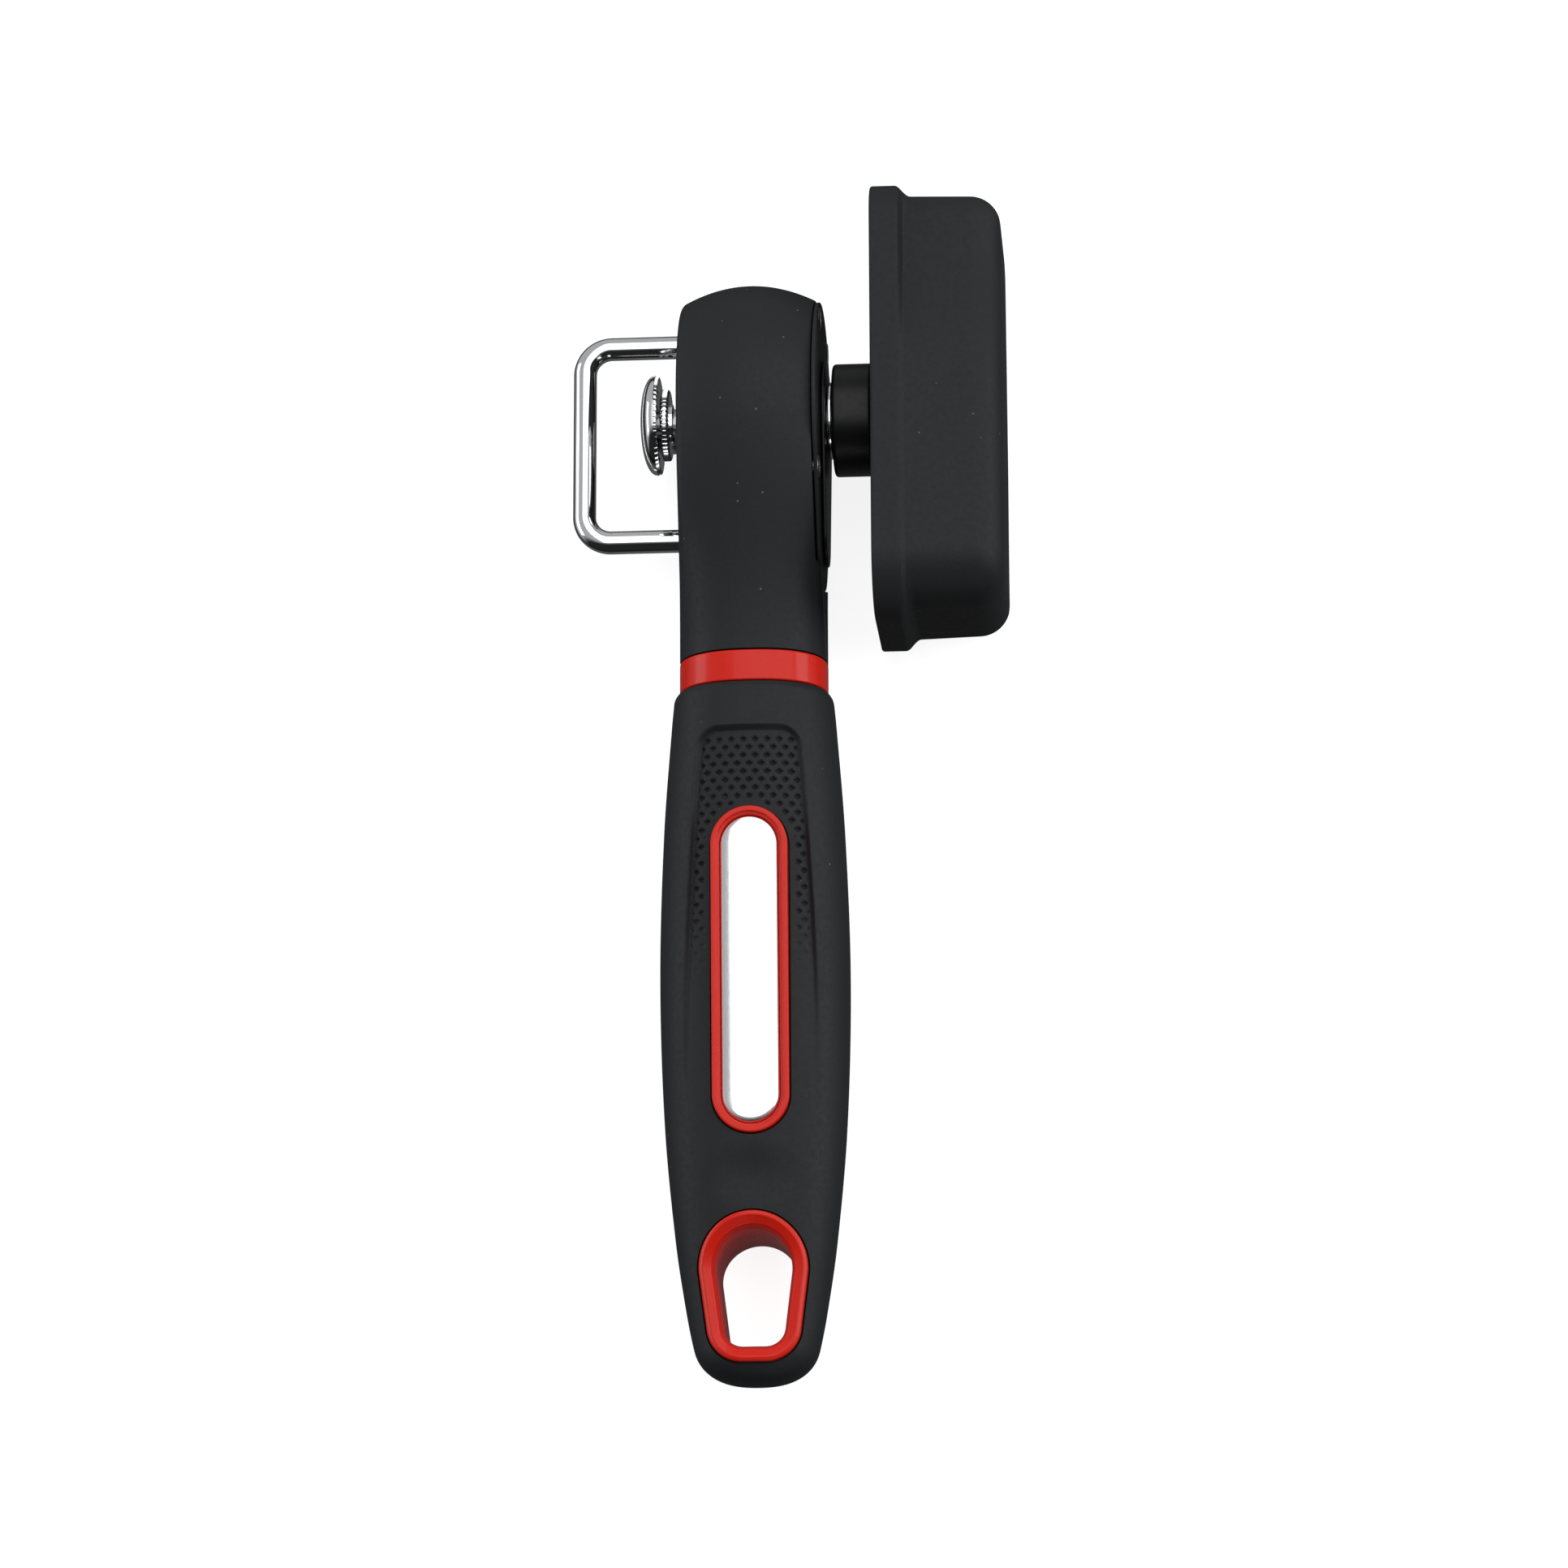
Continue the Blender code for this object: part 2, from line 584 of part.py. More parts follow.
def make_hang_grommet(tool):
    """The red liner of the hanging hole: a flat lip on the front, and a thin wall through to the back."""

    def front(raise_by):
        return lambda x, y: grip_surface(x, y, 1) + raise_by

    def back(raise_by):
        return lambda x, y: grip_surface(x, y, -1) - raise_by

    loops = [
        hole_loop(LINER_WALL, front(-LIP_THICK)),
        hole_loop(LIP_WIDTH, front(-LIP_THICK)),
        hole_loop(LIP_WIDTH, front(0.1)),
        hole_loop(LIP_WIDTH - 0.5, front(0.4)),
        hole_loop(1.0, front(0.3)),
        hole_loop(0.25, front(-0.1)),
        hole_loop(0.0, front(-0.9)),
        hole_loop(0.0, back(-0.5)),
        hole_loop(0.4, back(0.1)),
        hole_loop(LINER_WALL - 0.3, back(0.1)),
        hole_loop(LINER_WALL, back(-0.2)),
    ]
    tool.piece("hang_grommet", loft(loops, closed=True), "handle", "gloss_red")


def make_badge(tool):
    length, width = BEZEL_HALF
    opening = (length - BEZEL_RIM, width - BEZEL_RIM)
    floor = -1.1
    loops = [
        badge_loop(BEZEL_HALF, -BEZEL_DEPTH),
        badge_loop(BEZEL_HALF, BEZEL_PROUD - 0.4),
        badge_loop((length - 0.4, width - 0.4), BEZEL_PROUD),
        badge_loop((opening[0] + 0.3, opening[1] + 0.3), BEZEL_PROUD),
        badge_loop(opening, BEZEL_PROUD - 0.3),
        badge_loop(opening, floor),
    ]
    tool.piece("badge_bezel", loft(loops), "handle", "gloss_red")
    plate = (opening[0] - 0.25, opening[1] - 0.25)
    inner = (plate[0] - 0.5, plate[1] - 0.5)
    loops = [badge_loop(plate, floor + 0.25), badge_loop(plate, -0.15), badge_loop(inner, 0.1)]
    tool.piece("badge_plate", loft(loops), "handle", "polished_steel")


# ---------------------------------------------------------------- bail


def bail_path():
    """The wire's middle line in X and Y: out along the upper leg, down the cross bar and back."""
    points = [(BAIL_ROOT, BAIL_MIDDLE_Y + BAIL_LEG_Y)]
    for side, start in ((1, 90), (-1, 180)):
        centre = (BAIL_REACH + BAIL_BEND, BAIL_MIDDLE_Y + side * (BAIL_LEG_Y - BAIL_BEND))
        points += [on_circle(BAIL_BEND, math.radians(start + 15 * i), centre) for i in range(7)]
    points.append((BAIL_ROOT, BAIL_MIDDLE_Y - BAIL_LEG_Y))
    return points


def make_wire_bail(tool):
    """The wire as a bevelled curve. Transforming a curve scales its bevel too, so the depth stays in millimetres."""
    curve = bpy.data.curves.new("wire_bail", "CURVE")
    curve.dimensions = "3D"
    curve.bevel_depth = BAIL_WIRE
    curve.bevel_resolution = 3
    curve.use_fill_caps = True
    path = bail_path()
    spline = curve.splines.new("POLY")
    spline.points.add(len(path) - 1)
    for point, (x, y) in zip(spline.points, path):
        point.co = (x, y, BAIL_Z, 1)
    spline.use_smooth = True
    tool.place("wire_bail", curve, "handle", "chrome_wire")


# ---------------------------------------------------------------- eccentric


def make_eccentric(tool):
    outer = [(-13.4, SLEEVE_RADIUS - 0.3), (-13.1, SLEEVE_RADIUS), (11.1, SLEEVE_RADIUS)]
    sleeve = tool.piece("eccentric_sleeve", turned(outer, SLEEVE_CENTRE), "eccentric", "hard_black")
    tool.cut(sleeve, turned([(-20, SHAFT_RADIUS + RUN), (20, SHAFT_RADIUS + RUN)], SHAFT), "eccentric")
    make_stop_collar(tool)


def make_stop_collar(tool):
    """The collar on the sleeve, with the lug that runs between the two stop pins."""
    count = 40
    low, high = COLLAR_X
    outline, bore = [], []
    for i in range(count):
        angle = 2 * math.pi * i / count
        off = abs((angle - LUG_ANGLE + math.pi) % (2 * math.pi) - math.pi)
        on_lug = off <= LUG_HALF_ANGLE + 1e-6
        outline.append(on_circle(LUG_RADIUS if on_lug else COLLAR_RADIUS, angle, SLEEVE_CENTRE))
        bore.append(on_circle(SLEEVE_RADIUS + GAP, angle, SLEEVE_CENTRE))
    sides = ((low, bore), (low, outline), (high, outline), (high, bore))
    collar = loft([[(x, y, z) for y, z in loop] for x, loop in sides], closed=True)
    tool.piece("stop_collar", collar, "eccentric", "plain_steel")


# ---------------------------------------------------------------- drive


def make_drive_shaft(tool):
    profile = [(-18.6, 1.9), (-18.3, 2.2), (-13.8, 2.2), (-13.8, SHAFT_RADIUS), (11.3, SHAFT_RADIUS), (11.3, 2.3),
               (12.2, 2.3), (12.2, SHAFT_RADIUS), (27.0, SHAFT_RADIUS)]
    shaft = tool.piece("drive_shaft", turned(profile), "drive", "plain_steel")
    half = SQUARE / 2
    for side in (1, -1):
        tool.cut(shaft, box((SQUARE_START, side * 6 - (6 - half), -6), (30, side * 6 + (6 - half), 6)), "drive")
        tool.cut(shaft, box((SQUARE_START, -6, side * 6 - (6 - half)), (30, 6, side * 6 + (6 - half))), "drive")
    tool.cut(shaft, turned([(17.0, 1.25), (30, 1.25)], SHAFT, 16), "drive")


def toothed_loop(x, tip, depth, teeth):
    """One slice of a knurled wheel: every other point stands at the foot of a tooth."""
    count = teeth * 2
    return [(x, *on_circle(tip - depth * (i % 2), 2 * math.pi * i / count)) for i in range(count)]


def make_wheels(tool):
    """The small roller that bears on the rim, and the big domed feed wheel that turns the can."""
    bore = 2.2 + GAP
    teeth, depth = ROLLER_TEETH, 0.4
    profile = ((-16.1, 5.9, 0.6), (-15.9, 6.3, 1), (-14.8, 6.3, 1), (-14.6, 6.0, 0.6))
    loops = [circle(-16.1, bore, SHAFT, teeth * 2)]
    loops += [toothed_loop(x, tip, depth * share, teeth) for x, tip, share in profile]
    loops += [circle(x, radius, SHAFT, teeth * 2) for x, radius in ((-14.6, 3.6), (-14.1, 3.6), (-14.1, bore))]
    tool.piece("rim_roller", loft(loops, closed=True), "drive", "chrome_wire")

    teeth, depth = FEED_TEETH, 0.5
    profile = ((-16.4, 8.2, 0.7), (-16.6, FEED_RADIUS, 1), (-17.3, FEED_RADIUS, 1))
    dome = ((-17.4, 8.6), (-18.3, 7.6), (-19.1, 5.6), (-19.6, 3.2), (-19.8, 0.9))
    loops = [toothed_loop(x, tip, depth * share, teeth) for x, tip, share in profile]
    loops += [circle(x, radius, SHAFT, teeth * 2) for x, radius in dome]
    feed = tool.piece("feed_wheel", loft(loops), "drive", "chrome_wire")
    tool.cut(feed, turned([(-18.9, bore), (-10, bore)]), "drive")


def make_shaft_fittings(tool):
    gap_angle = math.radians(35)
    count = 22
    loops = []
    for i in range(count):
        angle = gap_angle + (2 * math.pi - 2 * gap_angle) * i / (count - 1)
        cosine, sine = math.cos(angle), math.sin(angle)
        loops.append([(x, r * cosine, r * sine) for x, r in ((11.45, 2.55), (11.45, 3.9), (12.05, 3.9), (12.05, 2.55))])
    tool.piece("retaining_clip", loft(loops), "drive", "plain_steel")
    tool.piece("thrust_washer", washer(13.4, 13.95, SHAFT_RADIUS + GAP, 6.75), "drive", "polished_steel")
    loops = []
    waves = 3
    count = 36
    for i in range(count):
        angle = 2 * math.pi * i / count
        middle = 15.0 + 0.35 * math.cos(waves * angle)
        cosine, sine = math.cos(angle), math.sin(angle)
        section = ((-0.12, 3.3), (-0.12, 5.1), (0.12, 5.1), (0.12, 3.3))
        loops.append([(middle + dx, r * cosine, r * sine) for dx, r in section])
    tool.piece("wave_spring", loft(loops, closed=True), "drive", "plain_steel")


def make_knob_hub(tool):
    profile = [(HUB_FACE, HUB_RADIUS - 0.7), (HUB_FACE + 0.25, HUB_RADIUS - 0.2), (HUB_FACE + 0.8, HUB_RADIUS),
               (KNOB_FACE - GAP, HUB_RADIUS)]
    hub = tool.piece("knob_hub", turned(profile, SHAFT, 36), "drive", "hard_black")
    tool.cut(hub, turned([(HUB_FACE - 3, 5.5), (SQUARE_START + GAP, 5.5)]), "drive")
    half = SQUARE / 2 + GAP
    tool.cut(hub, box((10, -half, -half), (30, half, half)), "drive")


def knob_outline():
    half_length, half_width = KNOB_HALF
    circles = []
    for side in (1, -1):
        circles.append((side * (half_length - KNOB_TIGHT), side * (half_width - KNOB_TIGHT), KNOB_TIGHT))
        circles.append((side * (half_length - KNOB_FULL), -side * (half_width - KNOB_FULL), KNOB_FULL))
    return hull(circles, 44)


def knob_step(y, dy, dz):
    """How far the knob's body stands in from its flange: scooped on the tight-cornered half of each side."""
    scoop = smooth_step((math.copysign(y, y * dz) / KNOB_HALF[0] - 0.1) / 0.6)
    return 0.25 + 2.4 * scoop * dz * dz + 1.5 * dy * dy


def knob_loop(x, inset, stepped):
    """One slice of the knob: the outline drawn in by a fixed inset and by a share of the body's step.

    Where that is deeper than a tight corner's radius, the end and the side meet in a mitre.
    """
    corner = KNOB_HALF[0] - KNOB_TIGHT
    end = KNOB_HALF[0] - inset - stepped * knob_step(corner, 1, 0)
    side = KNOB_HALF[1] - inset - stepped * knob_step(corner, 0, 1)
    loop = []
    for y, z, dy, dz in knob_outline():
        depth = inset + stepped * knob_step(y, dy, dz)
        u, v = y - dy * depth, z - dz * depth
        if y * z > 0:
            u = math.copysign(min(abs(u), end), y)
            if abs(y) >= corner:
                v = math.copysign(min(abs(v), side), z)
        loop.append((x, u, v))
    return loop


def make_knob(tool):
    flange = KNOB_FACE + KNOB_FLANGE
    loops = [
        knob_loop(KNOB_FACE, 0.5, 0),
        knob_loop(KNOB_FACE + 0.5, 0, 0),
        knob_loop(flange - 0.5, 0, 0),
        knob_loop(flange, 0.12, 0.3),
        knob_loop(flange + 0.9, 0.12, 0.75),
        knob_loop(flange + 2.0, 0.15, 1),
        knob_loop(KNOB_END - KNOB_EDGE, 0.45, 1),
    ]
    for angle in (25, 50, 72, 90):
        turn = math.radians(angle)
        inset = 0.45 + KNOB_EDGE * (1 - math.cos(turn))
        loops.append(knob_loop(KNOB_END - KNOB_EDGE * (1 - math.sin(turn)), inset, 1))
    wall = 2.2
    inner = [
        knob_loop(KNOB_END - wall, 8.0, 1),
        knob_loop(KNOB_END - wall - 3.0, 4.4, 1),
        knob_loop(flange + 2.0, 2.6, 1),
        knob_loop(flange - 1.6, 2.6, 1),
        knob_loop(flange - 2.2, 2.5, 0),
        knob_loop(KNOB_FACE, 2.3, 0),
    ]
    tool.piece("knob_shell", cup(loops, inner), "drive", "soft_black")
    make_knob_base(tool)
    tool.piece("knob_screw", turned([(18.4, 0.95), (27.6, 0.95), (27.6, 3.6), (29.2, 3.6), (29.9, 2.6)], SHAFT, 20),
               "drive", "plain_steel")


def cup(outer, inner):
    """A hollow shell: outer loops from its mouth to its closed end, then inner loops back to its mouth."""
    count = len(outer[0])
    loops = outer + inner
    points = [point for loop in loops for point in loop]
    last_outer = len(outer) - 1
    faces = [tuple(range(last_outer * count, (last_outer + 1) * count))]
    faces.append(tuple(range((last_outer + 1) * count, (last_outer + 2) * count))[::-1])
    for k in range(len(loops)):
        if k == last_outer:
            continue
        here, there = k * count, (k + 1) % len(loops) * count
        for i in range(count):
            j = (i + 1) % count
            faces.append((here + i, here + j, there + j, there + i))
    return mesh_of(points, faces)


def make_knob_base(tool):
    thick = 2.2
    base = tool.piece(
        "knob_base",
        loft([knob_loop(KNOB_FACE, 2.6, 0), knob_loop(KNOB_FACE + thick, 2.6, 0)]),
        "drive",
        "hard_black",
    )
    tool.join(base, turned([(KNOB_FACE + thick - 1, 6.5), (27.3, 6.0)]), "drive")
    half = SQUARE / 2 + GAP
    tool.cut(base, box((10, -half, -half), (35, half, half)), "drive")


# ---------------------------------------------------------------- cutter


def make_cutter(tool):
    axle = [(-18.8, 2.3), (-18.5, 2.7), (-18.1, 2.7), (-18.1, 1.6), (-12.9, 1.6), (-12.9, 2.6), (-7.5, 2.6),
            (-7.5, 1.6), (-4.9, 1.6), (-4.9, 2.4), (-4.1, 2.0)]
    tool.piece("cutter_axle", turned(axle, CUTTER_CENTRE, 24), "handle", "plain_steel")
    tool.piece("cutter_spacer", washer(-13.6, -13.2, 1.9, 3.4, CUTTER_CENTRE, 24), "handle", "plain_steel")
    tool.piece("cutter_bush", washer(-17.8, -13.9, 1.9, 2.6, CUTTER_CENTRE, 24), "cutter", "bronze")
    edge = ((-17.7, 2.9), (-17.7, 3.9), (-17.0, CUTTER_RADIUS), (-16.2, 4.1), (-14.0, 3.9), (-14.0, 2.9))
    tool.piece("cutter_wheel", turned_ring(edge, CUTTER_CENTRE, 32), "cutter", "plain_steel")


def main():
    for obj in list(bpy.data.objects):
        bpy.data.objects.remove(obj, do_unlink=True)
    tool = Tool()
    tool.add_body("handle", (0.0, 0.0))
    tool.add_body("eccentric", SLEEVE_CENTRE)
    tool.add_body("drive", SHAFT)
    tool.add_body("cutter", CUTTER_CENTRE)
    make_head_shell(tool)
    make_frame_plate(tool)
    make_side_plate(tool)
    make_cover_screws(tool)
    make_bearing_cover(tool)
    make_bushes(tool)
    make_tang_screws(tool)
    make_stop_pins(tool)
    make_neck_ring(tool)
    make_handle_core(tool)
    make_soft_grip(tool)
    make_hang_grommet(tool)
    make_badge(tool)
    make_wire_bail(tool)
    make_eccentric(tool)
    make_drive_shaft(tool)
    make_wheels(tool)
    make_shaft_fittings(tool)
    make_knob_hub(tool)
    make_knob(tool)
    make_cutter(tool)


main()
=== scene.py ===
"""Looks of the side-cutting can opener: fine meshes, finishes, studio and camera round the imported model.

Shapes are worked out in millimetres in the tool's own frame: the drive shaft runs along X through the
origin, with the knob at +X and the wheels at -X, the handle runs along -Y and the badge faces +Z. TOOL
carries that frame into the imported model's, where the tool lies on its back.
"""

import json
import math

import bmesh
import bpy
import numpy as np
from mathutils import Matrix, Vector


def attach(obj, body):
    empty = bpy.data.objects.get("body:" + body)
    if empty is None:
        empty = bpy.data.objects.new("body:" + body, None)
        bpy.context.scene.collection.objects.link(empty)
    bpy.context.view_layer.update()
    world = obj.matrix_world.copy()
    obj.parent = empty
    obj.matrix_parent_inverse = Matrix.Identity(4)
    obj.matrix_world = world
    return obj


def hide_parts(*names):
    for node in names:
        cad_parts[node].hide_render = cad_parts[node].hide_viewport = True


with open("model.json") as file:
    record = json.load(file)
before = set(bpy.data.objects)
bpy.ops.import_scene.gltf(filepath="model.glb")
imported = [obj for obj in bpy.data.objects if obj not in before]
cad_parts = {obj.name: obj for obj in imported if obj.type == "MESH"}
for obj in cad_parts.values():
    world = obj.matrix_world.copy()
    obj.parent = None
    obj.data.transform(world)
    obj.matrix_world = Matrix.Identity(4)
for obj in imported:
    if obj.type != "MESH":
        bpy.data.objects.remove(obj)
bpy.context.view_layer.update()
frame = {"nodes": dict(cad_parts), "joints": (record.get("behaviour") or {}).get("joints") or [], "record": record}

MM = 0.001
GAP = 0.3
JOINTS = {joint["name"]: joint for joint in frame["joints"]}
LIE_ANGLE = math.radians(2.80)
SHAFT_HEIGHT = JOINTS["drive_spin"]["pos_m"][2]
TOOL = Matrix.Translation((0, 0, SHAFT_HEIGHT)) @ Matrix.Rotation(LIE_ANGLE, 4, "X") @ Matrix.Scale(MM, 4)


def pivot(joint):
    """A joint's place in the tool's frame, as (y, z)."""
    _, y, z = TOOL.inverted() @ Vector(JOINTS[joint]["pos_m"])
    return y, z


SHAFT = (0.0, 0.0)
SLEEVE_CENTRE = pivot("eccentric_turn")
CUTTER_CENTRE = pivot("cutter_spin")

# Camera, in the tool's frame: what it looks at, from where, and the width that it sees there.
CAMERA_TARGET = (5.10, -65.6, 0.0)
CAMERA_AZIMUTH = math.radians(4.4)
CAMERA_TILT = math.radians(-14.5)
CAMERA_ROLL = math.radians(0.2)
CAMERA_DISTANCE = 900.0
CAMERA_SPAN = 270.5
SENSOR = 36.0

# Surroundings. A rise is the span of a direction's Y or Z over which a strength goes from dim to full.
SKY_STRENGTH = 0.44
SKY_DIM = 0.02
SKY_RISE = (-0.42, -0.20)
HANDLE_SIDE_DIM = 0.04
HANDLE_SIDE_RISE = (-0.62, -0.22)
TABLE_STRENGTH = 0.09
TABLE_RISE = (-0.35, -0.75)

# Head. The crown is the share by which its sides are drawn in, and the edge is the round on each side.
HEAD_REACH = 24.1
HEAD_FRONT = 22.4
HEAD_BACK = 23.0
HEAD_SIDE = 12.0
HEAD_CROWN = 0.134
HEAD_EDGE = 0.035
HEAD_EDGE_START = 0.93
NECK_START = -14.0
NECK_END = -44.2
NECK_HALF_WIDTH = 12.7
NECK_HALF_DEPTH = 11.3
NECK_POWER = 2.3
NECK_FLARE = 0.05

# Room inside the head: a round pocket open towards the knob, a slot for the tang, and holes.
POCKET_FLOOR = -9.5
POCKET_RADIUS = 17.3
POCKET_CENTRE = (-0.5, -1.5)
TANG_ROOM = 6.3
TANG_SIDE = 7.3
BUSH_ROOM = 7.1
AXLE_ROOM = 2.9

# Side plate and bearing cover: their faces along X, their outlines as circles (y, z, radius), and the screws.
PLATE_SEAT = 11.35
PLATE_LOW = PLATE_SEAT + 0.25
PLATE_HIGH = PLATE_SEAT + 0.95
PLATE_CIRCLES = ((0.0, 0.0, 20.8), (-20.5, 0.0, 10.2))
PLATE_HOLE = 8.5
COVER_LOW = PLATE_HIGH + 0.25
COVER_HIGH = PLATE_HIGH + 0.8
COVER_CIRCLES = ((0.2, 0.0, 10.4), (-21.0, 0.0, 5.6))
BOSS_RADIUS = 8.2
COVER_SCREWS = ((15.9, 9.0), (15.9, -9.6), (-12.6, 13.6), (-12.6, -13.6))
SCREW_HOLE = 2.25

# Neck ring and grip.
RING_TOP = NECK_END - GAP
RING_BOTTOM = RING_TOP - 5.4
RING_HALF_WIDTH = 12.85
RING_HALF_DEPTH = 11.45
GRIP_TOP = RING_BOTTOM - GAP
GRIP_TOP_ROUND = 1.4
GRIP_BOTTOM = -169.3
GRIP_END_ROUND = 6.3
GRIP_END_POWER = 2.6
GRIP_WIDTH = ((-50.0, 13.7), (-56.0, 14.25), (-75.0, 15.6), (-100.0, 16.3), (-125.0, 15.55), (-145.0, 13.7),
              (-157.0, 11.9), (-163.0, 10.7), (-170.0, 8.9))
GRIP_FRONT = ((-50.0, 12.3), (-60.0, 12.9), (-75.0, 12.9), (-100.0, 12.2), (-128.0, 11.0), (-145.0, 9.7),
              (-163.0, 7.9), (-170.0, 7.2))
GRIP_BACK = ((-50.0, 12.3), (-75.0, 13.3), (-100.0, 13.5), (-128.0, 12.5), (-145.0, 10.5), (-163.0, 8.9),
             (-170.0, 8.3))
GRIP_MID = ((-50.0, 0.0), (-75.0, -0.4), (-100.0, -1.3), (-128.0, -2.2), (-145.0, -2.7), (-163.0, -3.2),
            (-170.0, -3.4))
GRIP_POWER = 2.35

# Sunk panel on the grip's front: its outline, and the net moulded into it.
PANEL_TOP = -58.0
PANEL_CORNER = 3.6
PANEL_HALF_WIDTH = ((-58.0, 8.9), (-75.0, 10.2), (-98.0, 11.4), (-120.0, 11.8))
PANEL_DEPTH = 1.1
PANEL_STEP = 1.05
PANEL_FADE = (-86.0, -126.0)
NET_TOP = -60.5
NET_PITCH = 2.04
NET_ROW = 1.42
NET_PIT = (0.92, 0.66)
NET_DEPTH = 0.55
NET_FADE = (-84.0, -104.0)
NET_MARGIN = 1.0
NET_ROW_SPACING = 0.18
DISH_CENTRE = -135.4
DISH_HALF = (9.0, 6.5)
DISH_DEPTH = 0.8

# Badge tray and hanging hole.
BADGE_CENTRE = -100.35
BEZEL_HALF = (27.8, 6.55)
BEZEL_RIM = 1.5
BEZEL_DEPTH = 2.4
BEZEL_PROUD = 0.5
BEZEL_FLOOR = -1.1
HOLE_CIRCLES = ((0.0, -150.4, 6.5), (-1.85, -160.0, 3.4), (1.85, -160.0, 3.4))
LIP_WIDTH = 2.75
LIP_THICK = 1.2
LINER_WALL = 1.4

# Wire bail.
BAIL_WIRE = 2.05
BAIL_Z = -11.5
BAIL_LEG_Y = 18.1
BAIL_MIDDLE_Y = 0.35
BAIL_REACH = -31.15
BAIL_BEND = 4.8
BAIL_ROOT = -4.0

# Shaft, wheels and knob. A draw is how far the knob's skin comes in along its step, or along its body.
SLEEVE_RADIUS = 5.6
SHAFT_RADIUS = 2.75
WHEEL_BORE = 2.5
FEED_RADIUS = 8.75
FEED_TEETH = 48
DOME_FOOT = -17.1
DOME_RISE = 2.7
DOME_POWER = 0.87
ROLLER_TEETH = 44
CUTTER_RADIUS = 4.9
KNOB_FACE = 21.5
KNOB_FLANGE = 4.8
KNOB_END = 44.2
KNOB_HALF = (38.9, 18.0)
KNOB_TIGHT = 7.0
KNOB_FULL = 11.0
KNOB_EDGE = 5.4
KNOB_WALL = 2.2
FLANGE_EDGE = 0.5
STEP_RUN = 2.2
STEP_DRAW = 0.15
BODY_DRAW = 0.3
HUB_RADIUS = 9.9
HUB_FACE = 14.2


# ---------------------------------------------------------------- finishes


class Finish:
    """A Principled material, and the nodes that its surface detail hangs on."""

    def __init__(self, name, colour, roughness, **sockets):
        self.material = bpy.data.materials.new(name)
        self.material.use_nodes = True
        self.tree = self.material.node_tree
        self.shader = self.tree.nodes["Principled BSDF"]
        self.shader.inputs["Base Color"].default_value = (*colour, 1.0)
        self.shader.inputs["Roughness"].default_value = roughness
        for socket, value in sockets.items():
            self.shader.inputs[socket.replace("_", " ")].default_value = value
        self.place = self.tree.nodes.new("ShaderNodeTexCoord").outputs["Object"]

    def node(self, kind, **settings):
        made = self.tree.nodes.new("ShaderNode" + kind)
        for name, value in settings.items():
            if hasattr(made, name):
                setattr(made, name, value)
            else:
                made.inputs[name.replace("_", " ")].default_value = value
        return made

    def link(self, source, target):
        self.tree.links.new(source, target)

    def stretched(self, scale):
        """Object coordinates stretched by a factor on each axis."""
        mapping = self.node("Mapping", Scale=scale)
        self.link(self.place, mapping.inputs["Vector"])
        return mapping.outputs["Vector"]

    def noise(self, size, detail=2.0, vector=None):
        """Noise whose features are about the given size, in millimetres."""
        made = self.node("TexNoise", Scale=1 / (size * MM), Detail=detail)
        self.link(vector or self.place, made.inputs["Vector"])
        return made.outputs["Fac"]

    def spread(self, value, low, high, start=0.3, end=0.7):
        """A value from a noise, spread from low to high."""
        made = self.node("MapRange", From_Min=start, From_Max=end, To_Min=low, To_Max=high)
        self.link(value, made.inputs["Value"])
        return made.outputs["Result"]

    def vary_roughness(self, value, low, high):
        self.link(self.spread(value, low, high), self.shader.inputs["Roughness"])

    def vary_colour(self, share, first, second):
        mix = self.node("Mix", data_type="RGBA")
        colours = [socket for socket in mix.inputs if socket.type == "RGBA"]
        colours[0].default_value = (*first, 1.0)
        colours[1].default_value = (*second, 1.0)
        self.link(share, mix.inputs[0])
        result = [socket for socket in mix.outputs if socket.type == "RGBA"][0]
        self.link(result, self.shader.inputs["Base Color"])

    def bump(self, height, depth, strength=1.0):
        """Bump from a 0 to 1 height, as deep as given in millimetres."""
        made = self.node("Bump", Strength=strength, Distance=depth * MM)
        self.link(height, made.inputs["Height"])
        self.link(made.outputs["Normal"], self.shader.inputs["Normal"])


def dust(finish):
    """A share that is 1 in a few tiny pale specks and 0 elsewhere."""
    cells = finish.node("TexVoronoi", Scale=1 / (3.4 * MM))
    finish.link(finish.place, cells.inputs["Vector"])
    tint = finish.node("SeparateColor")
    finish.link(cells.outputs["Color"], tint.inputs["Color"])
    chosen = finish.spread(tint.outputs["Red"], 0.0, 1.0, 0.52, 0.53)
    near = finish.spread(cells.outputs["Distance"], 0.55, 0.0, 0.03, 0.065)
    both = finish.node("Math", operation="MULTIPLY")
    finish.link(chosen, both.inputs[0])
    finish.link(near, both.inputs[1])
    return both.outputs["Value"]


def soft_black():
    finish = Finish("soft_black", (0.022, 0.023, 0.025), 0.55, Specular_IOR_Level=0.2)
    finish.vary_colour(dust(finish), (0.0185, 0.0195, 0.0212), (0.22, 0.22, 0.21))
    finish.vary_roughness(finish.noise(0.9, 3.0), 0.50, 0.62)
    finish.bump(finish.noise(0.18, 2.0), 0.018, 0.7)
    return finish.material


def hard_black():
    finish = Finish("hard_black", (0.006, 0.006, 0.007), 0.34, Specular_IOR_Level=0.3)
    finish.vary_colour(finish.noise(2.5), (0.005, 0.005, 0.006), (0.007, 0.007, 0.008))
    finish.vary_roughness(finish.noise(0.6, 3.0), 0.32, 0.42)
    finish.bump(finish.noise(0.2), 0.005, 0.3)
    return finish.material


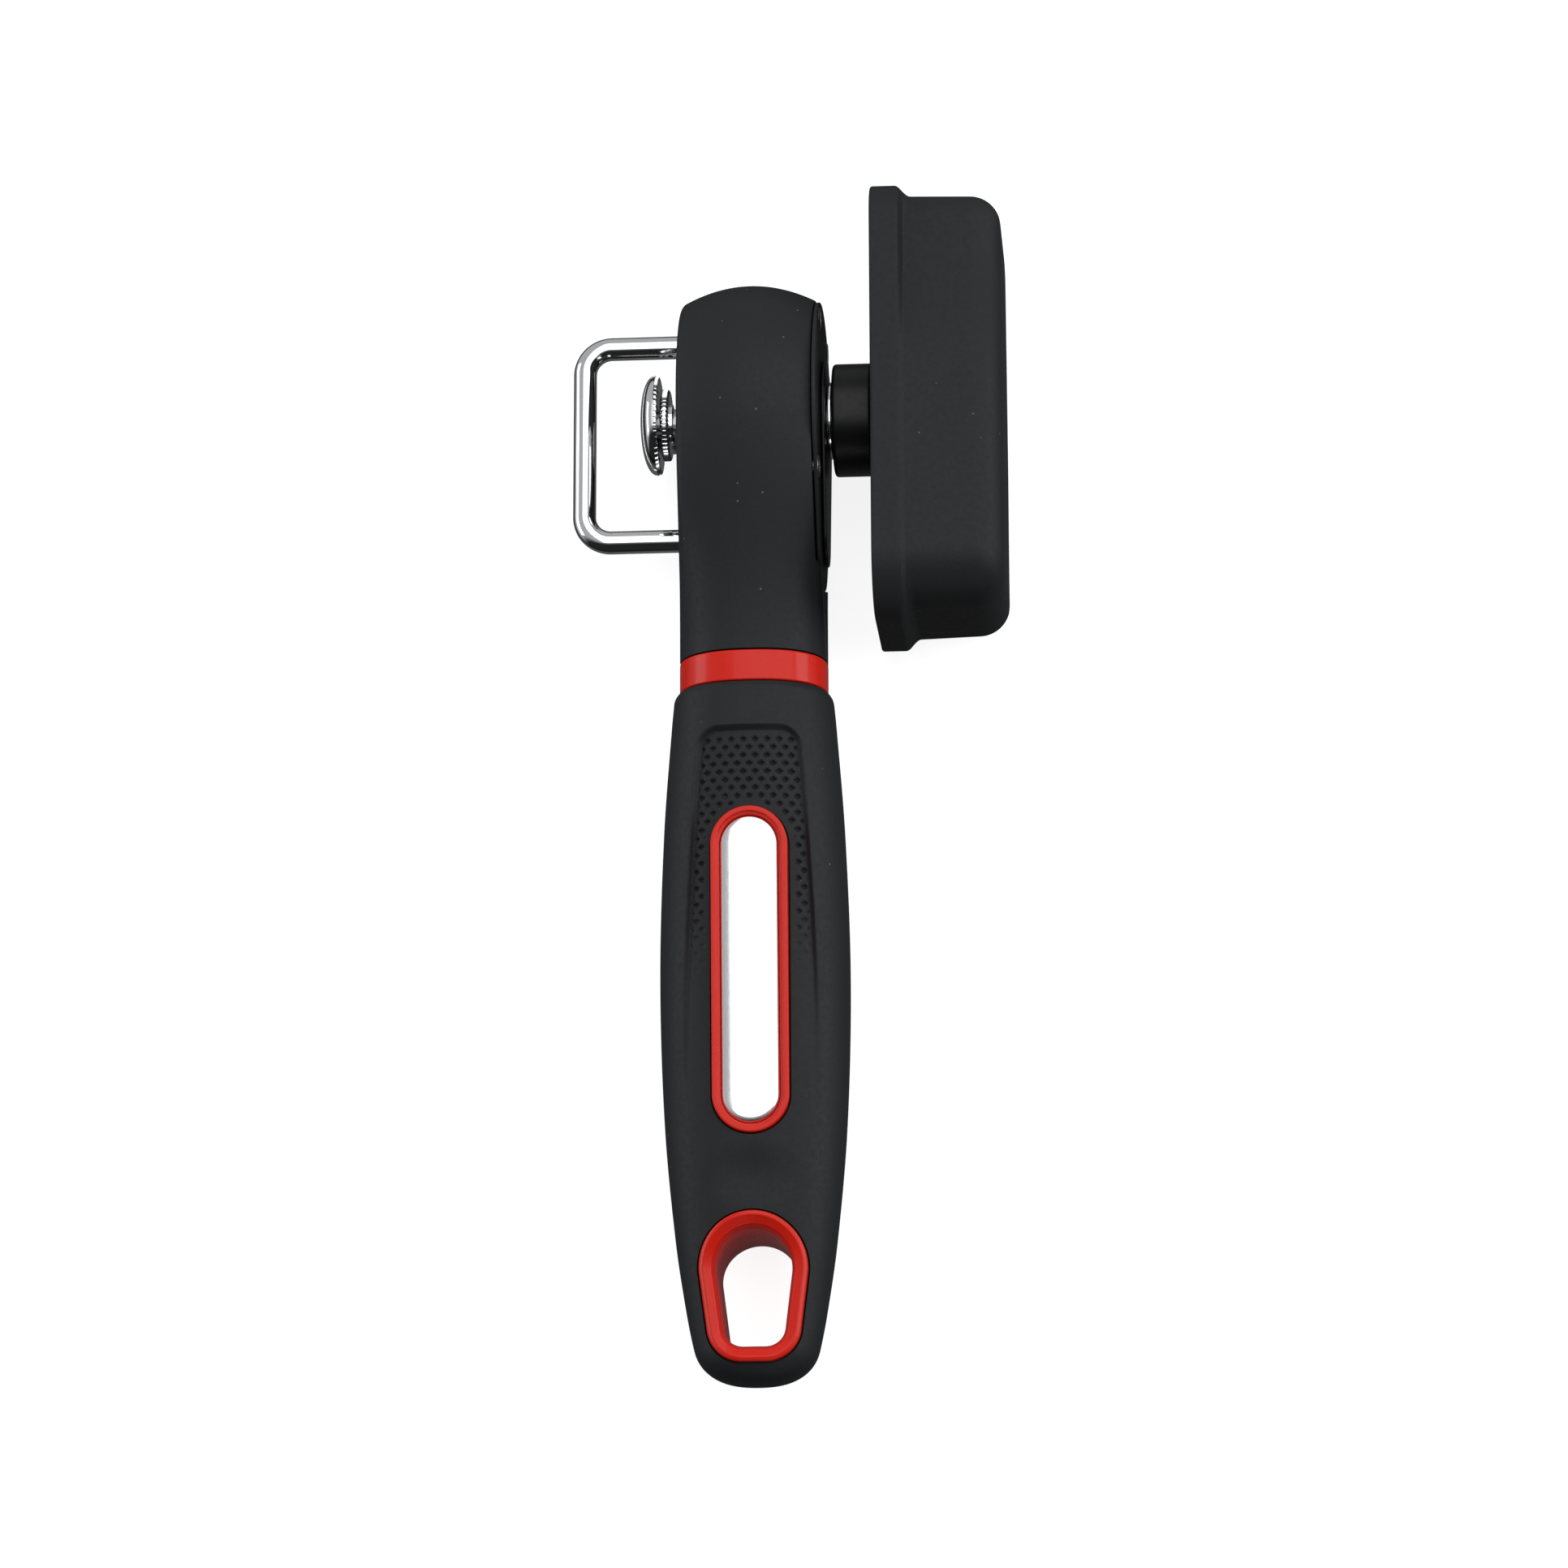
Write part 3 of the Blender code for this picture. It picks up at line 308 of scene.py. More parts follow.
def gloss_red():
    finish = Finish("gloss_red", (0.68, 0.018, 0.008), 0.30, Specular_IOR_Level=0.2, Coat_Weight=0.12,
                    Coat_Roughness=0.06)
    finish.vary_colour(finish.noise(4.0), (0.66, 0.016, 0.007), (0.71, 0.020, 0.009))
    finish.vary_roughness(finish.noise(0.8, 3.0), 0.27, 0.34)
    finish.bump(finish.noise(1.2), 0.01, 0.15)
    return finish.material


def polished_steel():
    finish = Finish("polished_steel", (0.90, 0.90, 0.91), 0.12, Metallic=1.0)
    lines = finish.noise(1.0, 3.0, finish.stretched((6.0, 0.25, 6.0)))
    finish.vary_roughness(lines, 0.09, 0.15)
    finish.bump(lines, 0.003, 0.05)
    return finish.material


def chrome_wire():
    finish = Finish("chrome_wire", (0.86, 0.86, 0.87), 0.05, Metallic=1.0)
    finish.vary_roughness(finish.noise(1.5, 3.0), 0.035, 0.075)
    finish.bump(finish.noise(2.5), 0.01, 0.06)
    return finish.material


def plain_steel():
    finish = Finish("plain_steel", (0.56, 0.56, 0.57), 0.32, Metallic=1.0)
    rings = finish.noise(0.5, 2.0, finish.stretched((8.0, 0.6, 0.6)))
    finish.vary_colour(finish.noise(1.5, 3.0), (0.50, 0.50, 0.51), (0.60, 0.60, 0.61))
    finish.vary_roughness(rings, 0.26, 0.40)
    finish.bump(rings, 0.006, 0.25)
    return finish.material


def bronze():
    finish = Finish("bronze", (0.60, 0.38, 0.20), 0.38, Metallic=1.0)
    finish.vary_colour(finish.noise(0.3, 4.0), (0.50, 0.30, 0.15), (0.66, 0.43, 0.24))
    finish.bump(finish.noise(0.15), 0.02, 0.4)
    return finish.material


def bearing_nylon():
    finish = Finish("bearing_nylon", (0.78, 0.77, 0.72), 0.45, Subsurface_Weight=0.1)
    finish.vary_colour(finish.noise(2.0), (0.75, 0.74, 0.69), (0.80, 0.79, 0.74))
    finish.bump(finish.noise(0.3), 0.006, 0.3)
    return finish.material


FINISHES = {
    make.__name__: make()
    for make in (
        soft_black, hard_black, gloss_red, polished_steel, chrome_wire, plain_steel, bronze, bearing_nylon
    )
}
SLOTS = {part["node"]: part["material_slot"] for part in frame["record"]["subparts"]}
BODIES = {node: body for body, nodes in frame["record"]["behaviour"]["bodies"].items() for node in nodes}


# ---------------------------------------------------------------- mesh tools


def smooth_step(value):
    value = np.clip(value, 0.0, 1.0)
    return value * value * (3 - 2 * value)


def hermite(t, start, start_slope, end, end_slope):
    """The cubic that runs from start to end while t runs from 0 to 1, with the given slopes at its ends."""
    return (
        start * (2 * t**3 - 3 * t**2 + 1)
        + start_slope * (t**3 - 2 * t**2 + t)
        + end * (3 * t**2 - 2 * t**3)
        + end_slope * (t**3 - t**2)
    )


def follow(stations, at):
    """The smooth curve through (position, value) stations that run towards -Y, read at one position."""
    points = sorted(stations)
    at = min(max(at, points[0][0]), points[-1][0])
    index = max(i for i in range(len(points) - 1) if points[i][0] <= at)

    def slope(i):
        low, high = max(i - 1, 0), min(i + 1, len(points) - 1)
        return (points[high][1] - points[low][1]) / (points[high][0] - points[low][0])

    (x0, v0), (x1, v1) = points[index], points[index + 1]
    span = x1 - x0
    return hermite((at - x0) / span, v0, slope(index) * span, v1, slope(index + 1) * span)


def mesh_of(points, faces):
    mesh = bpy.data.meshes.new("mesh")
    mesh.from_pydata(points, [], faces)
    work = bmesh.new()
    work.from_mesh(mesh)
    bmesh.ops.remove_doubles(work, verts=work.verts, dist=1e-4)
    bmesh.ops.recalc_face_normals(work, faces=work.faces)
    work.to_mesh(mesh)
    work.free()
    return mesh


def loft(loops, closed=False):
    """A skin over loops that all hold equally many points: capped at both ends, or joined last to first."""
    count = len(loops[0])
    points = [point for loop in loops for point in loop]
    faces = []
    for k in range(len(loops) if closed else len(loops) - 1):
        here, there = k * count, (k + 1) % len(loops) * count
        for i in range(count):
            j = (i + 1) % count
            faces.append((here + i, here + j, there + j, there + i))
    if not closed:
        faces.append(tuple(range(count))[::-1])
        faces.append(tuple(range(len(points) - count, len(points))))
    return mesh_of(points, faces)


def filleted(points, radius, closed=False, steps=5):
    """A polyline with its corners rounded to a radius, or to less where its sides are short."""
    points = [Vector(point) for point in points]
    count = len(points)
    made = []
    for i, here in enumerate(points):
        if not closed and i in (0, count - 1):
            made.append(here)
            continue
        before, after = points[i - 1] - here, points[(i + 1) % count] - here
        half = before.angle(after) / 2
        if half > math.radians(84):
            made.append(here)
            continue
        cut = min(radius / math.tan(half), 0.45 * before.length, 0.45 * after.length)
        start, end = here + before.normalized() * cut, here + after.normalized() * cut
        for k in range(steps + 1):
            t = k / steps
            made.append(start * (1 - t) ** 2 + here * 2 * t * (1 - t) + end * t * t)
    return [tuple(point) for point in made]


def on_circle(radius, angle, centre=SHAFT):
    return centre[0] + radius * math.cos(angle), centre[1] + radius * math.sin(angle)


def circle(x, radius, centre=SHAFT, count=96):
    return [(x, *on_circle(radius, 2 * math.pi * i / count, centre)) for i in range(count)]


def turned(profile, centre=SHAFT, fillet=0.15, count=96):
    """A solid bar turned about an axis along X, from a profile of (x, radius)."""
    return loft([circle(x, radius, centre, count) for x, radius in filleted(profile, fillet)])


def turned_ring(profile, centre=SHAFT, fillet=0.12, count=96):
    """A turned piece with a hole through it. The profile is the closed outline of its section."""
    loops = [circle(x, radius, centre, count) for x, radius in filleted(profile, fillet, True)]
    return loft(loops, closed=True)


def bar(x_low, x_high, radius, centre=SHAFT, count=96):
    """A plain round bar along X."""
    return turned(((x_low, radius), (x_high, radius)), centre, count=count)


def washer(x_low, x_high, inner, outer, centre=SHAFT, fillet=0.12):
    return turned_ring(((x_low, inner), (x_low, outer), (x_high, outer), (x_high, inner)), centre, fillet)


def box(low, high):
    (x0, y0, z0), (x1, y1, z1) = low, high
    return loft([[(x, y0, z0), (x, y1, z0), (x, y1, z1), (x, y0, z1)] for x in (x0, x1)])


def hull(circles, count):
    """The convex hull of circles, as (u, v, direction u, direction v), one point for each direction."""
    points = []
    for i in range(count):
        angle = 2 * math.pi * (i + 0.5) / count
        du, dv = math.cos(angle), math.sin(angle)
        u, v, radius = max(circles, key=lambda c: c[0] * du + c[1] * dv + c[2])
        points.append((u + radius * du, v + radius * dv, du, dv))
    return points


def slab(circles, x_low, x_high, fillet):
    """A flat plate across X with rounded edges, whose outline is the hull of circles."""
    outline = hull(circles, 160)
    deep = 2.0
    section = filleted(((x_low, -deep), (x_low, 0.0), (x_high, 0.0), (x_high, -deep)), fillet)
    return loft([[(x, u + du * out, v + dv * out) for u, v, du, dv in outline] for x, out in section])


def combined(mesh, helper, operation):
    """The mesh that a Boolean leaves."""
    first = bpy.data.objects.new("first", mesh)
    second = bpy.data.objects.new("second", helper)
    for obj in (first, second):
        bpy.context.scene.collection.objects.link(obj)
    modifier = first.modifiers.new("boolean", "BOOLEAN")
    modifier.operation = operation
    modifier.solver = "EXACT"
    modifier.object = second
    graph = bpy.context.evaluated_depsgraph_get()
    made = bpy.data.meshes.new_from_object(first.evaluated_get(graph))
    for obj in (first, second):
        bpy.data.objects.remove(obj)
    return made


def cut(mesh, *cutters):
    for cutter in cutters:
        mesh = combined(mesh, cutter, "DIFFERENCE")
    return mesh


def piece(node, data, sharp=32):
    """Stands a fine mesh or curve, in tool-frame millimetres, in for a CAD node."""
    obj = bpy.data.objects.new(node + "_fine", data)
    bpy.context.scene.collection.objects.link(obj)
    data.transform(TOOL)
    data.materials.clear()
    data.materials.append(FINISHES[SLOTS[node]])
    if isinstance(data, bpy.types.Mesh):
        data.shade_smooth()
        data.set_sharp_from_angle(angle=math.radians(sharp))
        normals = obj.modifiers.new("normals", "WEIGHTED_NORMAL")
        normals.keep_sharp = True
    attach(obj, BODIES[node])
    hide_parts(node)


# ---------------------------------------------------------------- head


def head_outline():
    """The head's and neck's outline, from neck front to neck back, as (y, z, y of the spine point)."""
    head_steps = 44
    neck_steps = 22

    def rim(angle, depth, power):
        cosine, sine = math.cos(angle), math.sin(angle)
        scale = (abs(cosine) ** power + abs(sine) ** power) ** (-1 / power)
        return HEAD_REACH * cosine * scale, depth * sine * scale

    def half(depth, power, side, last):
        points = [rim(last * i / head_steps, depth, power) for i in range(head_steps + 1)]
        y0, z0 = points[-1]
        y_near, z_near = rim(last - 0.01, depth, power)
        run = y0 - NECK_END
        slope = (z_near - z0) / (y_near - y0)
        outline = [(y, side * z, 0.0) for y, z in points]
        for i in range(1, neck_steps + 1):
            t = i / neck_steps
            z = hermite(t, z0, -slope * run, NECK_HALF_DEPTH, -NECK_FLARE * run)
            outline.append((y0 - run * t, side * z, (y0 - run * t) * smooth_step(2.5 * t)))
        return outline

    front = half(HEAD_FRONT, 2.05, 1, math.radians(106))
    back = half(HEAD_BACK, 3.6, -1, math.radians(128))
    end = [(NECK_END, NECK_HALF_DEPTH * z, NECK_END) for z in np.linspace(-0.96, 0.96, 25)]
    return front[::-1] + back[1:] + end


def head_loop(outline, across):
    """One slice of the head at a share of its half-width, from -1 to 1."""
    loop = []
    edge = max(0.0, abs(across) - HEAD_EDGE_START) / (1 - HEAD_EDGE_START)
    crown = 1 - HEAD_CROWN * across**2 - HEAD_EDGE * (1 - math.sqrt(1 - edge**2))
    round_section = (1 - min(abs(across), 0.985) ** NECK_POWER) ** (1 / NECK_POWER)
    for y, z, spine in outline:
        blend = smooth_step((NECK_START - y) / (NECK_START - NECK_END))
        share = (1 - blend) * crown + blend * round_section
        half_width = HEAD_SIDE + (NECK_HALF_WIDTH - HEAD_SIDE) * blend
        y_share = crown if spine == 0.0 else 1.0
        loop.append((half_width * across, y * y_share, z * share))
    return loop


def make_head():
    outline = head_outline()
    middle = list(np.linspace(0.01 - HEAD_EDGE_START, HEAD_EDGE_START - 0.01, 33))
    edge = [
        HEAD_EDGE_START + (1 - HEAD_EDGE_START) * math.sin(math.radians(angle))
        for angle in (0, 18, 36, 54, 72, 90)
    ]
    slices = [-share for share in reversed(edge)] + middle + edge
    shell = loft([head_loop(outline, across) for across in slices])

    # Every cutter runs on past the skin.
    land = box((-20, -60, -40), (20, 60, -SHAFT_HEIGHT / MM))
    land.transform(Matrix.Rotation(-LIE_ANGLE, 4, "X"))
    seat = hull(((0.0, 0.0, 30.0), (-20.5, 0.0, 10.5)), 96)
    seat = loft([[(x, u, v) for u, v, _, _ in seat] for x in (PLATE_SEAT, 20.0)])
    pocket = bar(POCKET_FLOOR, 16, POCKET_RADIUS, POCKET_CENTRE)
    slot = box((POCKET_FLOOR, NECK_END - 5, -TANG_ROOM), (TANG_SIDE, NECK_START, TANG_ROOM))
    sleeve_hole = bar(-16, -8, BUSH_ROOM, SLEEVE_CENTRE)
    axle_hole = bar(-16, -3.6, AXLE_ROOM, CUTTER_CENTRE)
    sockets = [
        bar(-20, BAIL_ROOT + GAP, BAIL_WIRE + GAP, (BAIL_MIDDLE_Y + side * BAIL_LEG_Y, BAIL_Z), 48)
        for side in (1, -1)
    ]
    piece("head_shell", cut(shell, land, seat, pocket, slot, sleeve_hole, axle_hole, *sockets))


def make_side_plate():
    plate = slab(PLATE_CIRCLES, PLATE_LOW, PLATE_HIGH, 0.2)
    holes = [bar(PLATE_LOW - 3, PLATE_HIGH + 3, SCREW_HOLE, place, 48) for place in COVER_SCREWS]
    holes.append(bar(PLATE_LOW - 3, PLATE_HIGH + 3, PLATE_HOLE, SLEEVE_CENTRE))
    piece("side_plate", cut(plate, *holes))


def make_cover_screws():
    """The side plate's four screws, each with a cross slot in its flat head."""
    low = PLATE_LOW
    profile = ((3.2, 0.6), (4.0, 1.0), (low, 1.0), (low, 1.95), (low + 0.7, 1.95), (low + 0.9, 1.6))
    for number, (y, z) in enumerate(COVER_SCREWS, 1):
        slots = [
            box((low + 0.4, y - half_y, z - half_z), (low + 2, y + half_y, z + half_z))
            for half_y, half_z in ((1.15, 0.22), (0.22, 1.15))
        ]
        piece(f"cover_screw_{number}", cut(turned(profile, (y, z), 0.12, 48), *slots))


def make_bearing_cover():
    """The raised black cover over the shaft's bearing, with a boss inside that holds the bush."""
    cover = slab(COVER_CIRCLES, COVER_LOW, COVER_HIGH, 0.28)
    boss = bar(7.6, COVER_LOW + 0.3, BOSS_RADIUS, SLEEVE_CENTRE)
    bush_hole = bar(2, 11.6, BUSH_ROOM, SLEEVE_CENTRE)
    shaft_room = bar(11.0, 16, 5.4, travel_middle())
    piece("bearing_cover", cut(combined(cover, boss, "UNION"), bush_hole, shaft_room))


def travel_middle():
    """Half-way along the shaft's travel: the foot of the sleeve's centre on the line to the cutter."""
    distance = math.hypot(*CUTTER_CENTRE)
    aim = [value / distance for value in CUTTER_CENTRE]
    along = sum(a * b for a, b in zip(aim, SLEEVE_CENTRE))
    return tuple(value * along for value in aim)


# ---------------------------------------------------------------- handle


def oval(y, width, depth, count):
    points = []
    for i in range(count):
        angle = 2 * math.pi * (i + 0.5) / count
        cosine, sine = math.cos(angle), math.sin(angle)
        x = width * math.copysign(abs(cosine) ** (2 / GRIP_POWER), cosine)
        z = depth * math.copysign(abs(sine) ** (2 / GRIP_POWER), sine)
        points.append((x, y, z))
    return points


def make_neck_ring():
    deep = 2.0
    section = filleted(((RING_TOP, -deep), (RING_TOP, 0.0), (RING_BOTTOM, 0.0), (RING_BOTTOM, -deep)), 0.35)
    loops = [oval(y, RING_HALF_WIDTH + out, RING_HALF_DEPTH + out, 160) for y, out in section]
    piece("neck_ring", loft(loops))


def grip_surface(x, y, side):
    """The height of the grip's skin at a point, on the front (side 1) or the back (side -1)."""
    share = min(abs(x) / follow(GRIP_WIDTH, y), 1.0)
    depth = follow(GRIP_FRONT if side > 0 else GRIP_BACK, y)
    return follow(GRIP_MID, y) + side * depth * (1 - share**GRIP_POWER) ** (1 / GRIP_POWER)


def grip_rows():
    """Where the grip's rows stand, close together over the net, each with the share of its full size."""
    rows = []
    for share in np.linspace(0, 1, 8):
        rows.append((GRIP_TOP - GRIP_TOP_ROUND * share, 1 - 0.045 * (1 - share) ** 2))
    straight_end = GRIP_BOTTOM + GRIP_END_ROUND
    fine_start, fine_end = PANEL_TOP + 1.0, NET_FADE[1]
    rows += [(y, 1.0) for y in np.linspace(GRIP_TOP - GRIP_TOP_ROUND, fine_start, 14)[1:-1]]
    rows += [(y, 1.0) for y in np.arange(fine_start, fine_end, -NET_ROW_SPACING)]
    rows += [(y, 1.0) for y in np.linspace(fine_end, straight_end, 90)]
    for angle in np.linspace(0, math.pi / 2, 25)[1:]:
        share = math.sin(angle)
        drawn = (1 - (share * 0.995) ** GRIP_END_POWER) ** (1 / GRIP_END_POWER)
        rows.append((straight_end - GRIP_END_ROUND * share, drawn))
    return rows


def grip_section():
    """Points round a section as shares of its half-width and half-depth, close together on its front."""
    reach = 0.78
    front = [(x, (1 - abs(x) ** GRIP_POWER) ** (1 / GRIP_POWER)) for x in np.linspace(-reach, reach, 138)]
    start = math.acos(reach ** (GRIP_POWER / 2))
    rest = []
    for angle in np.linspace(start, -math.pi - start, 190)[1:-1]:
        cosine, sine = math.cos(angle), math.sin(angle)
        x = math.copysign(abs(cosine) ** (2 / GRIP_POWER), cosine)
        z = math.copysign(abs(sine) ** (2 / GRIP_POWER), sine)
        rest.append((x, z))
    return np.array(front), np.array(rest)


def panel_sink(x, y):
    """How far the front is sunk along one row: the panel, the net in it, and the dish under the badge."""
    half = follow(PANEL_HALF_WIDTH, y)
    side = half - np.abs(x)
    end = np.full_like(side, PANEL_TOP - y)
    corner = PANEL_CORNER - np.hypot(np.maximum(PANEL_CORNER - side, 0), np.maximum(PANEL_CORNER - end, 0))
    inside = np.where((side < PANEL_CORNER) & (end < PANEL_CORNER), corner, np.minimum(side, end))
    fade = smooth_step((y - PANEL_FADE[1]) / (PANEL_FADE[0] - PANEL_FADE[1]))
    sunk = PANEL_DEPTH * fade * smooth_step(inside / PANEL_STEP)

    row = round((NET_TOP - y) / NET_ROW)
    up = (NET_TOP - NET_ROW * row - y) / NET_PIT[1]
    shift = NET_PITCH / 2 if row % 2 == 0 else 0.0
    across = ((x - shift + NET_PITCH / 2) % NET_PITCH - NET_PITCH / 2) / NET_PIT[0]
    pit = smooth_step(1.25 * (1 - np.abs(across) - abs(up)))
    away = badge_distance(x, y) - NET_MARGIN
    room = smooth_step((inside - 0.9) / 0.5) * smooth_step(away / 0.4)
    net = smooth_step((y - NET_FADE[1]) / (NET_FADE[0] - NET_FADE[1])) * (y < NET_TOP + NET_ROW / 2)

    dish = smooth_step(1 - np.hypot(x / DISH_HALF[0], (y - DISH_CENTRE) / DISH_HALF[1]))
    return sunk + NET_DEPTH * net * pit * room + DISH_DEPTH * dish


def badge_distance(x, y):
    """How far outside the badge's rim a place is."""
    length, width = BEZEL_HALF
    along = max(abs(y - BADGE_CENTRE) - (length - width), 0.0)
    return np.hypot(x, along) - width


def badge_loop(inset, height):
    """A stadium round the badge's centre, set in from its rim, at a height over the tilted badge plane."""
    length, width = BEZEL_HALF
    radius = width - inset
    circles = ((0.0, length - width, radius), (0.0, width - length, radius))
    low = grip_surface(0.0, BADGE_CENTRE - length, 1)
    high = grip_surface(0.0, BADGE_CENTRE + length, 1)
    slope = (high - low) / (2 * length)
    middle = (low + high) / 2 + height
    return [(x, BADGE_CENTRE + y, middle + slope * y) for x, y, _, _ in hull(circles, 128)]


def hole_loop(offset, height):
    """A loop round the hanging hole, set out from it, with its height given by a function of x and y."""
    loop = []
    for x, y, dx, dy in hull(HOLE_CIRCLES, 112):
        x, y = x + dx * offset, y + dy * offset
        loop.append((x, y, height(x, y)))
    return loop


def over_front(rise):
    return lambda x, y: grip_surface(x, y, 1) + rise


def over_back(rise):
    return lambda x, y: grip_surface(x, y, -1) - rise


def make_grip():
    front, rest = grip_section()
    loops = []
    for y, drawn in grip_rows():
        width = follow(GRIP_WIDTH, y) * drawn
        high, low = follow(GRIP_FRONT, y) * drawn, follow(GRIP_BACK, y) * drawn
        middle = follow(GRIP_MID, y)
        x = front[:, 0] * width
        z = middle + front[:, 1] * high - panel_sink(x, y)
        depth = np.where(rest[:, 1] > 0, high, low)
        loop = [(a, y, b) for a, b in zip(x, z)]
        loop += [(a * width, y, middle + b * c) for (a, b), c in zip(rest, depth)]
        loops.append(loop)
    tray = loft([badge_loop(-GAP, -BEZEL_DEPTH - GAP), badge_loop(-GAP, 6.0)])
    seat_floor = -LIP_THICK - GAP
    hole = loft([
        hole_loop(LINER_WALL + GAP, lambda x, y: -20.0),
        hole_loop(LINER_WALL + GAP, over_front(seat_floor)),
        hole_loop(LIP_WIDTH + GAP, over_front(seat_floor)),
        hole_loop(LIP_WIDTH + GAP, lambda x, y: 20.0),
    ])
    piece("soft_grip", cut(loft(loops), tray, hole))


def make_grommet():
    """The red liner of the hanging hole: a rounded lip on the front, and a wall through to the back."""
    lip = (
        (LINER_WALL, -LIP_THICK), (LIP_WIDTH, -LIP_THICK), (LIP_WIDTH, 0.45),
        (2.0, 0.6), (0.6, -0.35), (0.0, -2.0),
    )
    foot = ((0.0, -1.2), (0.0, 0.12), (LINER_WALL, 0.12), (LINER_WALL, -0.8))
    loops = [hole_loop(offset, over_front(rise)) for offset, rise in filleted(lip, 0.45, steps=6)]
    loops += [hole_loop(offset, over_back(rise)) for offset, rise in filleted(foot, 0.3)]
    piece("hang_grommet", loft(loops, closed=True))


def make_bezel():
    """The red tray, with a small step inside its rim."""
    step = BEZEL_RIM - 0.55
    section = (
        (0.0, -BEZEL_DEPTH), (0.0, BEZEL_PROUD), (step, BEZEL_PROUD),
        (step, BEZEL_PROUD - 0.45), (BEZEL_RIM, BEZEL_PROUD - 0.5), (BEZEL_RIM, BEZEL_FLOOR),
    )
    piece("badge_bezel", loft([badge_loop(inset, height) for inset, height in filleted(section, 0.3)]))


def make_badge_plate():
    """The blank polished plate that lies in the tray, a little crowned."""
    edge = BEZEL_RIM + 0.12
    half = BEZEL_HALF[1] - edge
    section = filleted(
        ((edge, BEZEL_FLOOR + 0.25), (edge, -0.2), (edge + 0.3, 0.05), (edge + 0.45, 0.09)), 0.15
    )
    for share in np.linspace(0.12, 0.995, 18):
        section.append((edge + half * share, 0.40 - 0.36 * (1 - share) ** 2.5))
    piece("badge_plate", loft([badge_loop(inset, height) for inset, height in section]))


# ---------------------------------------------------------------- bail


def bail_path():
    """The wire's middle line in X and Y: out along the upper leg, down the cross bar and back."""
    points = [(BAIL_ROOT, BAIL_MIDDLE_Y + BAIL_LEG_Y)]
    for side, start in ((1, 90), (-1, 180)):
        centre = (BAIL_REACH + BAIL_BEND, BAIL_MIDDLE_Y + side * (BAIL_LEG_Y - BAIL_BEND))
        points += [on_circle(BAIL_BEND, math.radians(start + 3.75 * i), centre) for i in range(25)]
    points.append((BAIL_ROOT, BAIL_MIDDLE_Y - BAIL_LEG_Y))
    return points


def make_bail():
    """The wire as a bevelled curve, in millimetres too: transforming a curve scales its bevel with it."""
    curve = bpy.data.curves.new("wire_bail", "CURVE")
    curve.dimensions = "3D"
    curve.bevel_depth = BAIL_WIRE
    curve.bevel_resolution = 14
    curve.use_fill_caps = True
    path = bail_path()
    spline = curve.splines.new("POLY")
    spline.points.add(len(path) - 1)
    for point, (x, y) in zip(spline.points, path):
        point.co = (x, y, BAIL_Z, 1)
    spline.use_smooth = True
    piece("wire_bail", curve)


# ---------------------------------------------------------------- wheels and knob


def toothed_loop(x, tip, depth, teeth):
    """One slice of a knurled wheel. Each tooth has a flat tip, two flanks and a flat root."""
    loop = []
    for i in range(teeth):
        for share, drop in ((0.0, 0.0), (0.12, 0.0), (0.30, 0.5), (0.44, 1.0), (0.68, 1.0), (0.82, 0.5)):
            loop.append((x, *on_circle(tip - depth * drop, 2 * math.pi * (i + share) / teeth)))
    return loop


def toothed_loops(profile, teeth, depth):
    """Slices of a knurled wheel, from a profile of (x, tip radius, share of the teeth's depth)."""
    return [toothed_loop(x, tip, depth * share, teeth) for x, tip, share in profile]


def make_rim_roller():
    """The small roller that bears on the can's rim."""
    profile = (
        (-16.1, WHEEL_BORE, 0),
        (-16.1, 5.8, 0.5), (-15.95, 6.2, 0.9), (-15.8, 6.3, 1),
        (-14.9, 6.3, 1), (-14.75, 6.2, 0.9), (-14.6, 5.9, 0.5),
        (-14.6, 3.6, 0), (-14.15, 3.6, 0), (-14.1, 3.5, 0), (-14.1, WHEEL_BORE, 0),
    )
    piece("rim_roller", loft(toothed_loops(profile, ROLLER_TEETH, 0.42), closed=True), 28)


def make_feed_wheel():
    """The big wheel that turns the can: a smooth dome, with its teeth cut into its inner edge."""
    profile = [(-16.4, 8.3, 0.8), (-16.48, 8.6, 1), (-16.95, 8.72, 1), (-17.0, FEED_RADIUS, 0)]
    for angle in np.linspace(4, 89, 22):
        turn = math.radians(angle)
        x = DOME_FOOT - DOME_RISE * math.sin(turn) ** DOME_POWER
        profile.append((x, FEED_RADIUS * math.cos(turn) ** DOME_POWER, 0))
    bore = bar(-18.9, -10, WHEEL_BORE, count=64)
    piece("feed_wheel", cut(loft(toothed_loops(profile, FEED_TEETH, 0.6)), bore), 28)


def make_hub_pieces():
    """The bright washer beside the head, and the knob's hub, recessed round the shaft."""
    piece("thrust_washer", washer(13.4, 13.95, SHAFT_RADIUS + GAP, 6.75))
    end = KNOB_FACE - GAP
    hub = ((end, 2.7), (end, HUB_RADIUS), (HUB_FACE, HUB_RADIUS), (HUB_FACE, 5.5), (16.3, 5.5), (16.3, 2.7))
    piece("knob_hub", turned_ring(hub, SHAFT, 0.7, 160))


